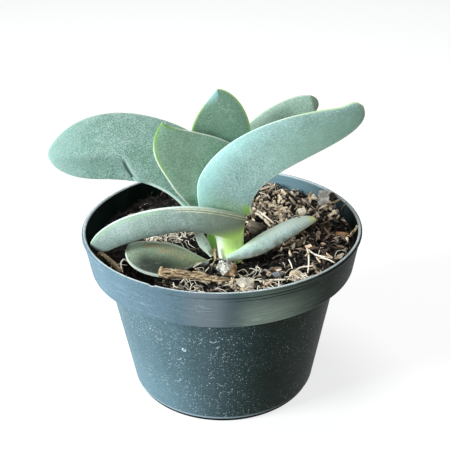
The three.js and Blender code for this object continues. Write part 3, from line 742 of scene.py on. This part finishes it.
# The upper left leaf reaches out flat to the left. Its lower margin is folded: the base part stands in
# front, and the outer part goes back behind it from a slanting crease.
skin, along, across, edge = leaf_skin(
    "leaf_upper_left_skin", (142, 178, 167), (126, 166, 150), (140, 190, 172), (212, 226, 196),
    margin_width=0.5, dots=0.6, rims=(0.7, 0))
crease_shade, brink_highlight, front = skin.carried("fold")
skin.coat((158, 196, 188), along.rise(0.7, 1) * 0.6)
skin.coat((220, 242, 232), edge.rise(1.1, 0.5) * across.rise(0, -0.3) * along.rise(0.48, 0.4))
# Painted shade in the fold's crease, and a painted highlight on its brink.
skin.coat((28, 54, 46), crease_shade * front.rise(0, 0.2))
skin.coat((206, 236, 224), brink_highlight * front.rise(0, 0.2) * 0.35)
add_leaf(
    "leaf_left_high", "leaf_left_upper", "leaf_grey_green", skin, 18,
    midline=[(-3, -12, 79), (-13.2, -6, 100.3), (-36.5, -8, 104.5), (-61.8, -12, 101.6)],
    faces=[(0.3, -0.8, 0.5), (0.05, -0.75, 0.75), (0, -0.75, 0.6)],
    right=side(13.9, 14.8, 0.5, 2.9, 0.76), left=side(9.8, 11.6, 0.73, 2.2), half=2.2, bow=(0.1, 0.05),
    fold={"at": 0.55, "slant": 0.12, "line": 0.52, "depth": 3.2, "run": 0.013, "fade": 0.45, "shade": 0.8})

# The young back leaf grows upright behind the front one, with its base hidden between the upper leaves. Its
# margins are lime, and a painted highlight makes its cusp pale.
skin, along, across, edge = leaf_skin(
    "leaf_back_young_skin", (110, 148, 124), (96, 134, 108), (104, 140, 110), (150, 196, 116), dots=0.3)
skin.coat((150, 196, 190), edge.rise(5, 1) * across.rise(0, -0.2) * along.rise(0.82, 0.94))
add_leaf(
    "young_leaf_back", "leaf_back_young", "leaf_young_green", skin, 19,
    midline=[(0, -12, 87), (0.8, -10, 98.4), (2, -9, 113.4), (-1, -10, 124.2)],
    faces=[(0.1, -0.9, 0.2), (0, -0.9, 0.3)],
    right=side(7.8, 9.9, 0.5, 2, 0.7), left=side(8.4, 11.9, 0.46, 2.3, 0.98), half=1.8, bow=(0.2, 0.1))

# The back right leaf leans out from the stem behind the upper right one. It ends bluntly, as if its tip had
# once dried off: the end is a darker healed face.
skin, along, across, edge = leaf_skin(
    "leaf_back_right_skin", (158, 188, 168), (136, 168, 150), (160, 190, 170), (196, 214, 192))
skin.coat((112, 132, 112), along.rise(0.945, 0.965))
add_leaf(
    "leaf_back_blunt", "leaf_right_back", "leaf_grey_green", skin, 20,
    midline=[(2.5, -8, 87), (6.9, -2, 102.6), (18.4, 3, 111), (36, 4, 114.7)],
    faces=[(-0.2, -0.9, 0.4), (-0.1, -0.8, 0.6)],
    right=side(6, 5, 0.4, 9), left=side(5.2, 4.7, 0.41, 9), half=2.2, bow=(0.2, 0))

# The mix: fine black-brown peat and bark dust that fills the pot to a finger's width below the lip, heaped
# a little higher at the back right. Its top is crumbly at every scale.
MIX_LEVEL = 61.7
MIX_RISE = (0.035, 0.025)
MIX_RELIEF = 0.7
MIX_BOTTOM = 2.4
MIX_LEDGE = 54.8
MIX_AIR = 0.3
MIX_RIM = 51.4
MIX_SETTLED = 1.5
MIX_RINGS = 150
MIX_SIDES = 300
WALL_BODY = [1.8, 53.5], [36.4, 45]
WALL_BAND = [53.5, 66.9], [50.5, 52.5]
WALL_STEP = 54.5


def mix_height(x, y):
    """A gentle slope with humps and hollows of two sizes."""
    humps = np.sin(x / 4.3 + 0.9) * np.sin(y / 3.7 + 0.4) + 0.5 * np.sin(x / 2.1 - y / 2.6)
    return MIX_LEVEL + MIX_RISE[0] * x + MIX_RISE[1] * y + MIX_RELIEF * humps


def wall_radius(height):
    """The inside of the pot: the tapered body below the shoulder, and the rim band above it."""
    return np.where(height < WALL_STEP, np.interp(height, *WALL_BODY), np.interp(height, *WALL_BAND))


mix_turn = around(MIX_SIDES)
edge_height = mix_height(MIX_RIM * np.cos(mix_turn), MIX_RIM * np.sin(mix_turn))
reach = np.linspace(1, 0, MIX_RINGS, endpoint=False)[:, None] * (wall_radius(edge_height) - MIX_AIR)
flat_top = round_points(reach, mix_turn, 0)
crumble = 0.5 * ripple(flat_top, 3.2, 31, 30) + 0.35 * ripple(flat_top, 1.5, 32, 40)
crumble = (0.35 - abs(crumble)) * 1.6 + 0.2 * ripple(flat_top, 0.8, 33, 40)
crumble *= reach / reach.max() < 0.995
top_height = mix_height(flat_top[..., 0], flat_top[..., 1]) + crumble - MIX_SETTLED
sides = [(wall_radius(MIX_BOTTOM), MIX_BOTTOM), (WALL_BODY[1][1], MIX_LEDGE),
         (wall_radius(MIX_LEDGE), MIX_LEDGE)]
side_rings = [round_points(radius - MIX_AIR, mix_turn, height) for radius, height in sides]
bed_rings = np.concatenate([side_rings, round_points(reach, mix_turn, top_height)])

peat = Finish("bark_mix", (5, 5, 4), Roughness=0.9)
humps = peat.noise(0.5, 4, 0.6)
fine = peat.noise(2.5, 4, 0.7)
peat.coat((22, 18, 14), humps.rise(0.42, 0.64))
peat.coat((110, 90, 68), fine.rise(0.62, 0.76) * 0.5)
peat.feed(Normal=peat.relief(humps + fine, 0.6))
add_piece("mix_bed", "soil", "bark_mix", peat, *closed_rings(bed_rings))

# Loose bits lie all over the mix: flat broken bark chips, and crumbs of bark and peat. The back right is
# mostly weathered tan bark, the right red-brown bark, and the rest darker and finer.
BIT_REACH = 50.3
WALL_ROOM = 51
leaf_points = np.vstack([points[::17] for points in (right_low, left_ground, shoot_pale, shoot_green)])


def clear_of_leaves(places, room):
    """True for the places that are further from the low leaves' skins than the room each needs."""
    squares = (places ** 2).sum(1)[:, None] + (leaf_points ** 2).sum(1) - 2 * places @ leaf_points.T
    return squares.min(1) > room ** 2


def turned(points, turns):
    """Points of many pieces, each piece turned about X, then Y, then Z by its own three angles."""
    (cx, cy, cz), (sx, sy, sz) = np.cos(turns).T, np.sin(turns).T
    rows = [[cy * cz, sx * sy * cz - cx * sz, cx * sy * cz + sx * sz],
            [cy * sz, sx * sy * sz + cx * cz, cx * sy * sz - sx * cz],
            [-sy, sx * cy, cx * cy]]
    return np.einsum("ijn,nkj->nki", np.array(rows), points)


def repeated(points, walls, ends):
    """Points and faces of many like pieces at once, from one piece's faces with four and with three
    corners."""
    count, size = points.shape[:2]
    shift = np.arange(count)[:, None, None] * size
    faces = (walls + shift).reshape(-1, 4).tolist() + (ends + shift).reshape(-1, 3).tolist()
    return points.reshape(-1, 3), faces


def flakes(draw, places, halves, turns, corners):
    """Broken flakes, all at once. Each is a ring of corners round its middle, at random distances, once for
    the bottom and once for the top, which is a little smaller. Both close on a middle point, and it bends a
    bit."""
    count = len(places)
    angle = around(corners) + draw.uniform(-0.25, 0.25, (count, corners))
    spread = draw.uniform(0.45, 1.15, (count, corners))
    points = np.zeros((count, 2 * corners + 2, 3))
    for level, first in ((-1, 0), (1, corners)):
        share = spread * draw.uniform(0.75, 1, (count, corners))
        height = level * draw.uniform(0.4, 1, (count, corners))
        points[:, first:first + corners] = round_points(share, angle, height)
    points[:, -2, 2] = -1
    points[:, -1, 2] = draw.uniform(0.7, 1.4, count)
    points[..., 2] += draw.uniform(-0.2, 0.2, (count, 1)) * points[..., 0] ** 2
    ring = np.arange(corners)
    walls = np.stack([ring, np.roll(ring, -1), np.roll(ring, -1) + corners, ring + corners], 1)
    ends = np.vstack([fan_faces(ring[::-1], 2 * corners), fan_faces(ring + corners, 2 * corners + 1)])
    return repeated(turned(points * halves[:, None], turns) + places[:, None], walls, ends)


def scattered(draw, count, reach):
    """Places spread evenly over a round, at the mix's height."""
    radius = reach * np.sqrt(draw.uniform(0, 1, count))
    turn = draw.uniform(0, 2 * math.pi, count)
    x, y = radius * np.cos(turn), radius * np.sin(turn)
    return np.stack([x, y, mix_height(x, y)], 1)


def right_share(places):
    """From 0 elsewhere to 1 at the right, where flat red-brown shards lie."""
    return smooth((places[:, 0] - 25) / 12) * smooth((15 - places[:, 1]) / 12)


def front_share(places):
    """From 0 elsewhere to 1 in front and at the front right, where many pale bits and fibres lie."""
    return smooth((-21 - places[:, 1]) / 12) * smooth((places[:, 0] + 26) / 16)


def back_share(places):
    """From 0 at the front and left to 1 at the back right, where the bits are chunky and weathered."""
    return smooth((places[:, 0] + 0.75 * places[:, 1] + 1) / 22) * (1 - 0.85 * right_share(places))


def lit_fibrous_share(places):
    """From 0 elsewhere to 1 under the lower left leaf, where a patch of pale fibres lies in painted light."""
    return np.exp(-((places[:, 0] + 23) / 10) ** 2 - ((places[:, 1] + 1) / 5) ** 2)


def painted_shade_share(places):
    """From 0 elsewhere to 1 at the left and the back left, where a painted shade makes the bits nearly black,
    but not in the lit fibrous patch.
    """
    back_left = smooth((-8 - places[:, 0]) / 14) * smooth((places[:, 1] + 14) / 10)
    return np.maximum(back_left, 0.9 * smooth((-25 - places[:, 0]) / 8)) * (1 - lit_fibrous_share(places))


def pale_share(places):
    """How many of a place's bits are pale, from 0 to 1: most at the back right, many in front and in the lit
    fibrous patch, few at the left, where the painted shade is."""
    share = 0.05 + 0.5 * back_share(places) + 0.2 * front_share(places) + 0.45 * lit_fibrous_share(places)
    return share * (1 - 0.8 * painted_shade_share(places))


bark = Finish("loose_bark", (16, 13, 11), Roughness=0.85)
pale, red = bark.carried("tone")[:2]
humps = bark.noise(0.9, 3)
fibre = bark.noise(1.8, 3, 0.65, stretch=(0.5, 2.2, 2.2))
bark.coat((48, 30, 21), red)
bark.coat(bark.blend((252, 234, 204), (212, 150, 104), red * 0.8), pale ** 2)
bark.coat((14, 11, 9), humps.rise(0.5, 0.36) * (0.9 - 0.6 * pale))
bark.coat((252, 242, 222), fibre.rise(0.5, 0.6) * pale ** 2 * 0.95)
# Painted light: the palest bits glow, most along their fibres, as if in sun.
sunlit = pale.rise(0.8, 1.3) * (0.3 + 0.7 * fibre.rise(0.44, 0.6))
bark.glow(0.3, bark.blend((0, 0, 0), (250, 236, 208), sunlit))
bark.feed(Normal=bark.relief(fibre + humps, 0.5))


def add_bits(name, seed, count, corners, reach, long, wide, thick, lift, tilt, only=None, levels=None):
    """Scatters flakes of random sizes, turns and tones, leaves out those that would touch a low leaf or the
    wall, and adds them as one piece. Some are pale, some middling and the rest nearly black. A painted shade
    makes the deeper ones darker, and most of those at the left and the back left. Only, if given, is a share
    function that the places follow, and then levels are the two ends of the tone."""
    draw = np.random.default_rng(seed)
    places = scattered(draw, count, reach)
    right = right_share(places)
    halves = np.stack([draw.uniform(*size, count) for size in (long, wide, thick)], 1)
    halves *= 1 + back_share(places)[:, None] * [0.1, 0.1, 0.35] + right[:, None] * [0.35, 0.3, -0.2]
    turn_ends = (-tilt, tilt), (-tilt, tilt), (0, 2 * math.pi)
    turns = np.stack([draw.uniform(*ends, count) for ends in turn_ends], 1)
    rise = draw.uniform(*lift, count)
    places[:, 2] += rise
    kept = np.linalg.norm(places[:, :2], axis=1) + 0.8 * halves[:, 0] < WALL_ROOM
    kept &= clear_of_leaves(places, 0.75 * halves[:, 0])
    luck, shade = draw.uniform(size=(2, count))
    share = pale_share(places)
    middling = share + 0.06 + 0.14 * smooth((places[:, 0] + 24) / 30) + 0.14 * right
    level = np.where(luck < middling, 0.34 + 0.3 * shade, 0.14 * shade)
    level = np.where(luck < share, 0.75 + 0.3 * shade, level)
    # Painted shade: the deeper bits are darker.
    level *= 0.5 + 0.5 * smooth((rise + 0.8) / 1.2)
    if only:
        kept &= draw.uniform(size=count) < only(places)
        # Painted shade: the deeper bits of the group are darker too.
        level = (levels[0] + (levels[1] - levels[0]) * shade) * (0.35 + 0.65 * smooth((rise - lift[0]) / 1.1))
    # Painted shade at the left and the back left.
    level *= 1 - 0.7 * painted_shade_share(places) * (luck > 0.1)
    redness = np.clip(0.25 + 0.6 * right + 0.3 * draw.normal(size=count), 0, 1)
    tones = np.stack([level, redness, draw.uniform(size=count)], 1)[kept]
    points, faces = flakes(draw, places[kept], halves[kept], turns[kept], corners)
    tones = np.repeat(tones, 2 * corners + 2, 0)
    add_piece(name, None, "bark_mix", bark, points, faces, smooth=False, tone=tones)


add_bits("mix_slabs", 40, 260, 9, 49, (1.6, 3.4), (0.4, 1), (0.15, 0.4), (0.2, 1.6), 0.6)
add_bits("mix_chips", 41, 950, 7, BIT_REACH, (0.8, 2.1), (0.3, 0.75), (0.15, 0.4), (-0.8, 1.1), 0.9)
add_bits("mix_crumbs", 42, 2000, 6, BIT_REACH + 0.6, (0.3, 0.75), (0.2, 0.5), (0.2, 0.4), (-1, 0.6), 1.5)
add_bits("back_bark_chips", 43, 850, 8, 49.6, (1, 2.9), (0.4, 0.95), (0.25, 0.55), (0.1, 2), 1.1,
         back_share, (0.4, 1.6))
add_bits("right_bark_shards", 44, 800, 7, 50, (1.2, 3.1), (0.35, 0.8), (0.15, 0.3), (0.1, 1.5), 0.6,
         right_share, (0.05, 0.78))
add_bits("front_bark_chips", 45, 420, 8, 50, (0.9, 2.2), (0.35, 0.9), (0.15, 0.4), (0.2, 1.3), 0.8,
         front_share, (0.2, 1.6))

# The bits that stand out on top: a cracked grey flake, dark lumps, an orange chip, tan crumbs, a pale chip,
# a rough stone, two pebbles and a few beige chips. Each is a squashed round with a broken surface.
LUMP_ROWS = 30
LUMP_SIDES = 44
POLE_GAP = 0.02


def lump(at, half, turn, seed, rough, cuts):
    """A squashed round from pole to pole, pushed in and out by humps of two sizes. Each cut takes one flat
    face off it, at a random place, as a break does."""
    polar = np.linspace(POLE_GAP, math.pi - POLE_GAP, LUMP_ROWS)[:, None]
    ball = round_points(np.sin(polar), around(LUMP_SIDES), np.cos(polar))
    ball *= (1.12 + rough * (ripple(ball, 1.1, seed) - 0.6 * abs(ripple(ball, 0.5, seed + 1))))[..., None]
    draw = np.random.default_rng(seed)
    for normal in unit(draw.normal(size=(cuts, 3))):
        ball -= np.maximum(ball @ normal - draw.uniform(0.4, 0.7), 0)[..., None] * normal
    rings = turned((ball * half).reshape(1, -1, 3), np.radians([turn]))[0].reshape(ball.shape) + at
    return closed_rings(rings[::-1])


def add_lump(name, node, slot, finish, **shape):
    """Adds a lump with flat faces."""
    add_piece(name, node, slot, finish, *lump(**shape), smooth=False)


def grained(name, dark, light, pits, streaks=(1, 1, 1), scale=0.8, cracks=0):
    """A dry rough surface in two tones that run along it as streaks, with darker pits and, if asked for,
    dark cracks where a slow noise passes its middle value."""
    finish = Finish(name, dark, Roughness=0.85)
    grain = finish.noise(scale, 4, 0.65, stretch=streaks)
    fine = finish.noise(2.4, 3, 0.6)
    finish.coat(light, grain.rise(0.38, 0.62))
    finish.coat(pits, fine.rise(0.56, 0.72) * 0.7)
    if cracks:
        finish.coat((24, 20, 16), finish.noise(0.3, 3).near(0.5, 0.006, 0.03) * cracks)
    finish.feed(Normal=finish.relief(grain + fine, 0.4))
    return finish


flake = grained("grey_flake", (158, 153, 147), (236, 232, 225), (104, 99, 94), scale=0.2, cracks=0.2)
# Painted light: the grey flake glows weakly in its own colours.
flake.glow(0.1, flake.colour)
add_lump("grey_bark_flake", "bark_flake", "grey_bark", flake, seed=61, rough=0.05, cuts=9,
         at=(44, 22.4, 66.8), half=(6.4, 1.6, 4.8), turn=(-20, 14, -40))
dark_chip = grained("dark_chip", (30, 26, 24), (70, 60, 52), (12, 10, 8))
add_lump("dark_bark_by_flake", None, "dark_bark", dark_chip, seed=69, rough=0.25, cuts=5,
         at=(46.4, 20.2, 68), half=(2.4, 1.2, 2.4), turn=(0, 20, -50))
dark_lump = grained("dark_lump", (40, 32, 24), (104, 88, 70), (12, 10, 8), scale=0.6)
x, y, z = dark_lump.parts(dark_lump.at)
# Painted highlight: the lump is pale at its top left, where the light falls.
dark_lump.coat((170, 156, 140), z.rise(63.6, 65.6) * x.rise(15.5, 11.5) * 0.8)
add_lump("dark_bark_lump", "bark_lump", "dark_bark", dark_lump, seed=62, rough=0.26, cuts=9,
         at=(13.6, 0, 64), half=(5.2, 4, 3.9), turn=(0, 14, 20))
add_lump("bark_knot", None, "dark_bark", dark_lump, seed=63, rough=0.4, cuts=3,
         at=(41.6, 4.6, 63.6), half=(3.4, 2.8, 2.2), turn=(10, 0, 30))
orange = grained("orange_bark", (150, 88, 44), (206, 148, 92), (110, 60, 30), (0.3, 1, 1), 0.9)
add_lump("orange_bark_chip", "orange_chip", "orange_bark", orange, seed=64, rough=0.1, cuts=5,
         at=(45.4, -5, 64.4), half=(2.9, 1.4, 0.7), turn=(25, -8, -8))
tan = grained("tan_crumb", (134, 104, 72), (226, 196, 154), (50, 36, 24), scale=1.3)
add_lump("tan_crumb_by_stone", None, "orange_bark", tan, seed=83, rough=0.42, cuts=8,
         at=(4, -30.8, 62.8), half=(2.1, 1.6, 2.3), turn=(0, 10, 30))
add_lump("tan_crumb_in_front", None, "orange_bark", tan, seed=81, rough=0.25, cuts=7,
         at=(19.1, -28.8, 62.9), half=(2.5, 1.2, 0.8), turn=(20, 0, 15))
pale_stone = grained("pale_stone", (196, 188, 166), (246, 238, 220), (120, 112, 94), scale=0.5)
# Painted light: the pale chip glows weakly in its own colours.
pale_stone.glow(0.16, pale_stone.colour)
add_lump("pale_stone_chip", "pale_chip", "pale_stone", pale_stone, seed=65, rough=0.12, cuts=9,
         at=(7.6, -37, 62.4), half=(3.6, 3.5, 1.3), turn=(40, -10, 40))
stone = grained("rough_stone", (178, 172, 154), (252, 252, 244), (60, 54, 44), scale=0.7, cracks=0.8)
x, y, z = stone.parts(stone.at)
stone.coat((40, 35, 28), stone.cells(0.6).rise(0.48, 0.2) * stone.noise(0.4).rise(0.4, 0.5) * 0.9)
stone.coat((190, 150, 106), (x - 0.9 * z).rise(-55, -53.6) * 0.85)
# Painted light: the stone glows weakly in its own colours.
stone.glow(0.22, stone.colour)
add_lump("rough_stone", "stone", "pale_stone", stone, seed=66, rough=0.34, cuts=18,
         at=(2, -27.6, 62.6), half=(4.6, 3.4, 6.2), turn=(-14, 12, 0))
beige_pebble = grained("beige_pebble", (250, 234, 210), (255, 250, 236), (214, 190, 160))
# Painted light: the beige pebble glows weakly in its own colours.
beige_pebble.glow(0.2, beige_pebble.colour)
add_lump("beige_pebble", "pebble", "pale_stone", beige_pebble, seed=67, rough=0.08, cuts=2,
         at=(32.1, 13.5, 65.4), half=(2.1, 1.9, 1.5), turn=(0, 0, 0))
slate = grained("slate_pebble", (118, 122, 128), (158, 162, 166), (84, 86, 90))
add_lump("slate_pebble", None, "pale_stone", slate, seed=68, rough=0.1, cuts=4,
         at=(19.6, -32.2, 62.9), half=(1.8, 1.5, 1.1), turn=(0, 0, 20))
beige_bark = grained("beige_bark", (206, 178, 144), (252, 238, 214), (120, 94, 66), (0.4, 1, 1))
for seed, at, half, turn in [
        (82, (26.2, -33.2, 62.7), (4.3, 2.3, 0.8), (24, 5, -12)),
        (84, (43.6, -20.4, 63.2), (2.6, 0.9, 0.7), (0, 0, 40)),
        (85, (24.6, 30, 64), (3, 1, 0.9), (20, 15, 70)),
        (86, (19.4, 26, 63.8), (3.4, 0.9, 0.7), (0, 20, 60))]:
    add_lump("beige_chip_%d" % seed, None, "tan_bark", beige_bark, seed=seed, rough=0.22, cuts=7,
             at=at, half=half, turn=turn)

# The sticks: a fibrous stick of tan bark across the front, torn at its thick end, five strips peeled off
# it, splinters that lean on the wall and the flake, a dry scrap by the stem, and a thin twig at the left.
STICK_ROWS = 90
STICK_SIDES = 40
RIDGE_LENGTH = 8
RIDGE_COUNT = 1.6
STICK_BEND = 0.35
STRIPS = 5


def stick(ends, half, seed, rough, swell=0):
    """A flattened rod between two points. Its section goes in and out in ridges that run along it, it is
    full at its first end by the swell, and both ends are rounded."""
    start, end = np.array(ends, dtype=float)
    share = np.linspace(0, 1, STICK_ROWS)[:, None]
    turn = around(STICK_SIDES)
    along = unit(end - start)
    sideways = unit(np.cross(along, [0, 0, 1]))
    upward = np.cross(sideways, along)
    length = np.linalg.norm(end - start)
    spot = np.stack(np.broadcast_arrays(
        share * length / RIDGE_LENGTH, RIDGE_COUNT * np.cos(turn), RIDGE_COUNT * np.sin(turn)), -1)
    ridges = 1 + rough * (ripple(spot, 1, seed) - 0.5 * abs(ripple(spot, 0.45, seed + 1)))
    full = np.clip(np.minimum(share, 1 - share) * length / half[0] / 0.8, 0.02, 1) ** 0.5
    full = full * (1 + swell * (1 - share)) * ridges
    bend = STICK_BEND * np.sin(share * 5 + seed)
    rings = (start + (end - start) * share)[:, None]
    rings = rings + (half[0] * full * np.cos(turn) + bend)[..., None] * sideways
    return closed_rings(rings + (half[1] * full * np.sin(turn))[..., None] * upward)


def add_stick(name, node, finish, **shape):
    """Adds a stick of tan bark."""
    add_piece(name, node, "tan_bark", finish, *stick(**shape))


tan_fibre = grained("tan_fibre", (104, 78, 50), (240, 212, 172), (46, 32, 20), (0.25, 1.2, 1.2), 1.3)
add_stick("tan_bark_stick", "bark_stick", tan_fibre,
          ends=[(-22.8, -31, 64), (2.2, -35.4, 62.2)], half=(1.25, 1), seed=71, rough=0.75, swell=0.6)
for strip in range(STRIPS):
    strip_start = (-21 + 5 * strip, -30.4 - 1.1 * strip, 64.3 - 0.3 * strip)
    strip_end = (-12 + 4.6 * strip, -33.5 - 0.4 * strip, 63.9 - 0.4 * strip)
    add_stick("bark_strip_%d" % (strip + 1), None, tan_fibre,
              ends=[strip_start, strip_end], half=(0.42, 0.3), seed=90 + strip, rough=0.5)
add_stick("leaning_splinter", None, tan_fibre,
          ends=[(49.6, -6.4, 64.2), (52, -4.2, 68)], half=(0.5, 0.36), seed=73, rough=0.3)
add_stick("flake_splinter", None, tan_fibre,
          ends=[(42.2, 17.6, 66.2), (48.9, 18.2, 68.5)], half=(0.5, 0.4), seed=74, rough=0.3)
add_stick("dry_scrap", None, tan_fibre,
          ends=[(-2.2, -20.9, 67.8), (-2.9, -21.5, 62.6)], half=(0.7, 0.3), seed=76, rough=0.4)
add_stick("wall_splinter", None, tan_fibre,
          ends=[(49.2, 16.6, 64), (50.6, 14.9, 68.9)], half=(0.3, 0.25), seed=75, rough=0.2)
twig_bark = grained("twig_bark", (146, 120, 88), (240, 216, 176), (58, 44, 30), (0.4, 0.4, 1), 1.4)
add_stick("thin_twig", "twig", twig_bark,
          ends=[(-46.6, -13.8, 62.3), (-36.3, -27.4, 62.3)], half=(0.95, 0.85), seed=72, rough=0.2)

# Fibres and rootlets lie over and between the bits: tan bark splinters and wiry pale roots, many of them in
# front and in one patch under the lower left leaf.
STRAND_ROWS = 14
STRAND_SIDES = 6
STRAND_ROOM = 0.7
STRAND_LIFT = 0.6


def strands(paths, radii):
    """Thin round strands, all at once, along paths of points. Each ring stands square to its path, the two
    ends are thinner, and each closes on a middle point."""
    count, rows = paths.shape[:2]
    along = unit(np.gradient(paths, axis=1))
    sideways = unit(np.cross(along, np.array([0.05, 0.03, 1.0])))
    upward = np.cross(sideways, along)
    angle = around(STRAND_SIDES)
    girth = radii[:, None] * (0.45 + 0.55 * np.sin(math.pi * np.linspace(0, 1, rows)) ** 0.5)
    rings = paths[:, :, None] + girth[..., None, None] * (
        np.cos(angle)[:, None] * sideways[:, :, None] + np.sin(angle)[:, None] * upward[:, :, None])
    points = np.concatenate([rings.reshape(count, -1, 3), paths[:, [0, -1]]], 1)
    ring = np.arange(STRAND_SIDES)
    last = rows * STRAND_SIDES
    caps = np.vstack([fan_faces(ring[::-1], last), fan_faces(ring + last - STRAND_SIDES, last + 1)])
    return repeated(points, grid_faces(rows, STRAND_SIDES), caps)


def drifting_paths(draw, starts, lengths, drift, arch):
    """Paths over the mix: each starts at its place, heads somewhere, keeps turning a little, and is lifted
    off the mix in one low arch."""
    count = len(starts)
    heading = draw.uniform(0, 2 * math.pi, count)[:, None] + np.cumsum(
        draw.normal(scale=drift, size=(count, STRAND_ROWS)), 1)
    step = draw.uniform(*lengths, count)[:, None] / STRAND_ROWS
    x = starts[:, :1] + np.cumsum(step * np.cos(heading), 1)
    y = starts[:, 1:2] + np.cumsum(step * np.sin(heading), 1)
    rise = draw.uniform(*arch, count)[:, None] * np.sin(np.linspace(0, math.pi, STRAND_ROWS))
    paths = np.stack([x, y, mix_height(x, y) + STRAND_LIFT + rise], -1)
    inside = np.hypot(x, y).max(1) < WALL_ROOM
    free = clear_of_leaves(paths.reshape(-1, 3), STRAND_ROOM).reshape(count, -1).all(1)
    return paths[inside & free]


def add_strands(name, draw, paths, radii, finish, often):
    """Adds strands with random girths. As many as often says are pale, more where the bits are pale, and
    the rest are nearly as dark as the peat."""
    points, faces = strands(paths, draw.uniform(*radii, len(paths)))
    luck, shade = draw.uniform(size=(2, len(paths)))
    pale_tone = np.where(luck < often + pale_share(paths[:, 0]), 0.7 + 0.35 * shade, 0.2 * shade)
    tones = np.stack([pale_tone, draw.uniform(0, 0.5, len(paths)), shade], 1)
    tones = np.repeat(tones, len(points) // len(paths), 0)
    add_piece(name, None, "bark_mix", finish, points, faces, tone=tones)


root_skin = Finish("rootlet", (30, 23, 17), Roughness=0.7)
pale = root_skin.carried("tone")[0]
grain = root_skin.noise(1.5, 3)
root_skin.coat((250, 242, 224), pale ** 2)
root_skin.coat((150, 124, 94), grain.rise(0.54, 0.72) * 0.4)
# Painted light: the pale rootlets glow.
root_skin.glow(0.25, root_skin.blend((0, 0, 0), (250, 240, 220), pale.rise(0.7, 1)))
root_skin.feed(Normal=root_skin.relief(grain, 0.1))

draw = np.random.default_rng(51)
splinter_paths = drifting_paths(draw, scattered(draw, 240, BIT_REACH), (2.5, 6), 0.05, (0, 1))
add_strands("mix_splinters", draw, splinter_paths, (0.12, 0.32), bark, 0.05)
draw = np.random.default_rng(52)
starts = np.vstack([
    scattered(draw, 50, BIT_REACH), scattered(draw, 130, 22) * [1.4, 0.45, 1] - [-4, 35, 0],
    scattered(draw, 110, 10) * [1.1, 0.55, 1] - [22, 1, 0]])
rootlet_paths = drifting_paths(draw, starts, (3.5, 10), 0.25, (0.2, 1.4))
add_strands("mix_rootlets", draw, rootlet_paths, (0.12, 0.2), root_skin, 0.45)

# The longer pale roots lie loose and dry on top of the mix, in front, at the right and behind the stem.
# Each goes through a few points above it.
ROOTS = [
    ([(-36.2, -26.8, 61.4), (-37.3, -22.5, 62.4), (-36.4, -20.1, 62.9), (-34.9, -19.3, 61.4)], 0.32),
    ([(31.6, -15.7, 64.4), (33.9, -19.2, 63.8), (36.9, -21.5, 63.9), (40.3, -21.5, 63.4)], 0.34),
    ([(31.6, -15.7, 64.4), (31.8, -20.8, 64), (31.3, -26.2, 63.4), (30.4, -31.5, 62.8)], 0.3),
    ([(35.3, -22.5, 64), (37.2, -23, 64), (38.9, -23.9, 63.9), (40.9, -25.4, 63.4)], 0.28),
    ([(22.9, -35.9, 62.8), (25.4, -31.3, 62.9), (28.2, -27.9, 63.1), (33.7, -27, 63.3)], 0.34),
    ([(13.7, -36.1, 62.8), (16.6, -36.2, 62.9), (19.6, -35.9, 62.9), (22.5, -35.8, 62.8)], 0.32),
    ([(24.3, -22.7, 63.6), (24.6, -24.4, 63.6), (24.9, -26, 63.4), (25.3, -28.1, 62.6)], 0.28),
    ([(-10.7, -25.3, 62), (-8.8, -23.5, 62.4), (-6.4, -21.3, 62.4), (-3.8, -18.7, 62)], 0.24),
    ([(-6.2, -29.1, 62.6), (-5.2, -27.4, 62.8), (-4.2, -25, 62.9), (-3, -22.7, 62.6)], 0.22),
    ([(11.7, 16.7, 64), (13.4, 14.6, 64.6), (15, 12.4, 64.5), (16.8, 10.6, 63.6)], 0.4),
    ([(12.6, 19.7, 64), (15.2, 15.4, 64.6), (17.8, 11, 64.5), (20.6, 6.4, 63.9)], 0.4),
]
stations = np.linspace(0, 1, STRAND_ROWS)
root_paths = np.stack([through(points, stations) for points, girth in ROOTS])
points, faces = strands(root_paths, np.array([girth for points, girth in ROOTS]))
root_tones = np.full((len(points), 3), (0.95, 0, 0.5))
add_piece("long_roots", None, "bark_mix", root_skin, points, faces, tone=root_tones)
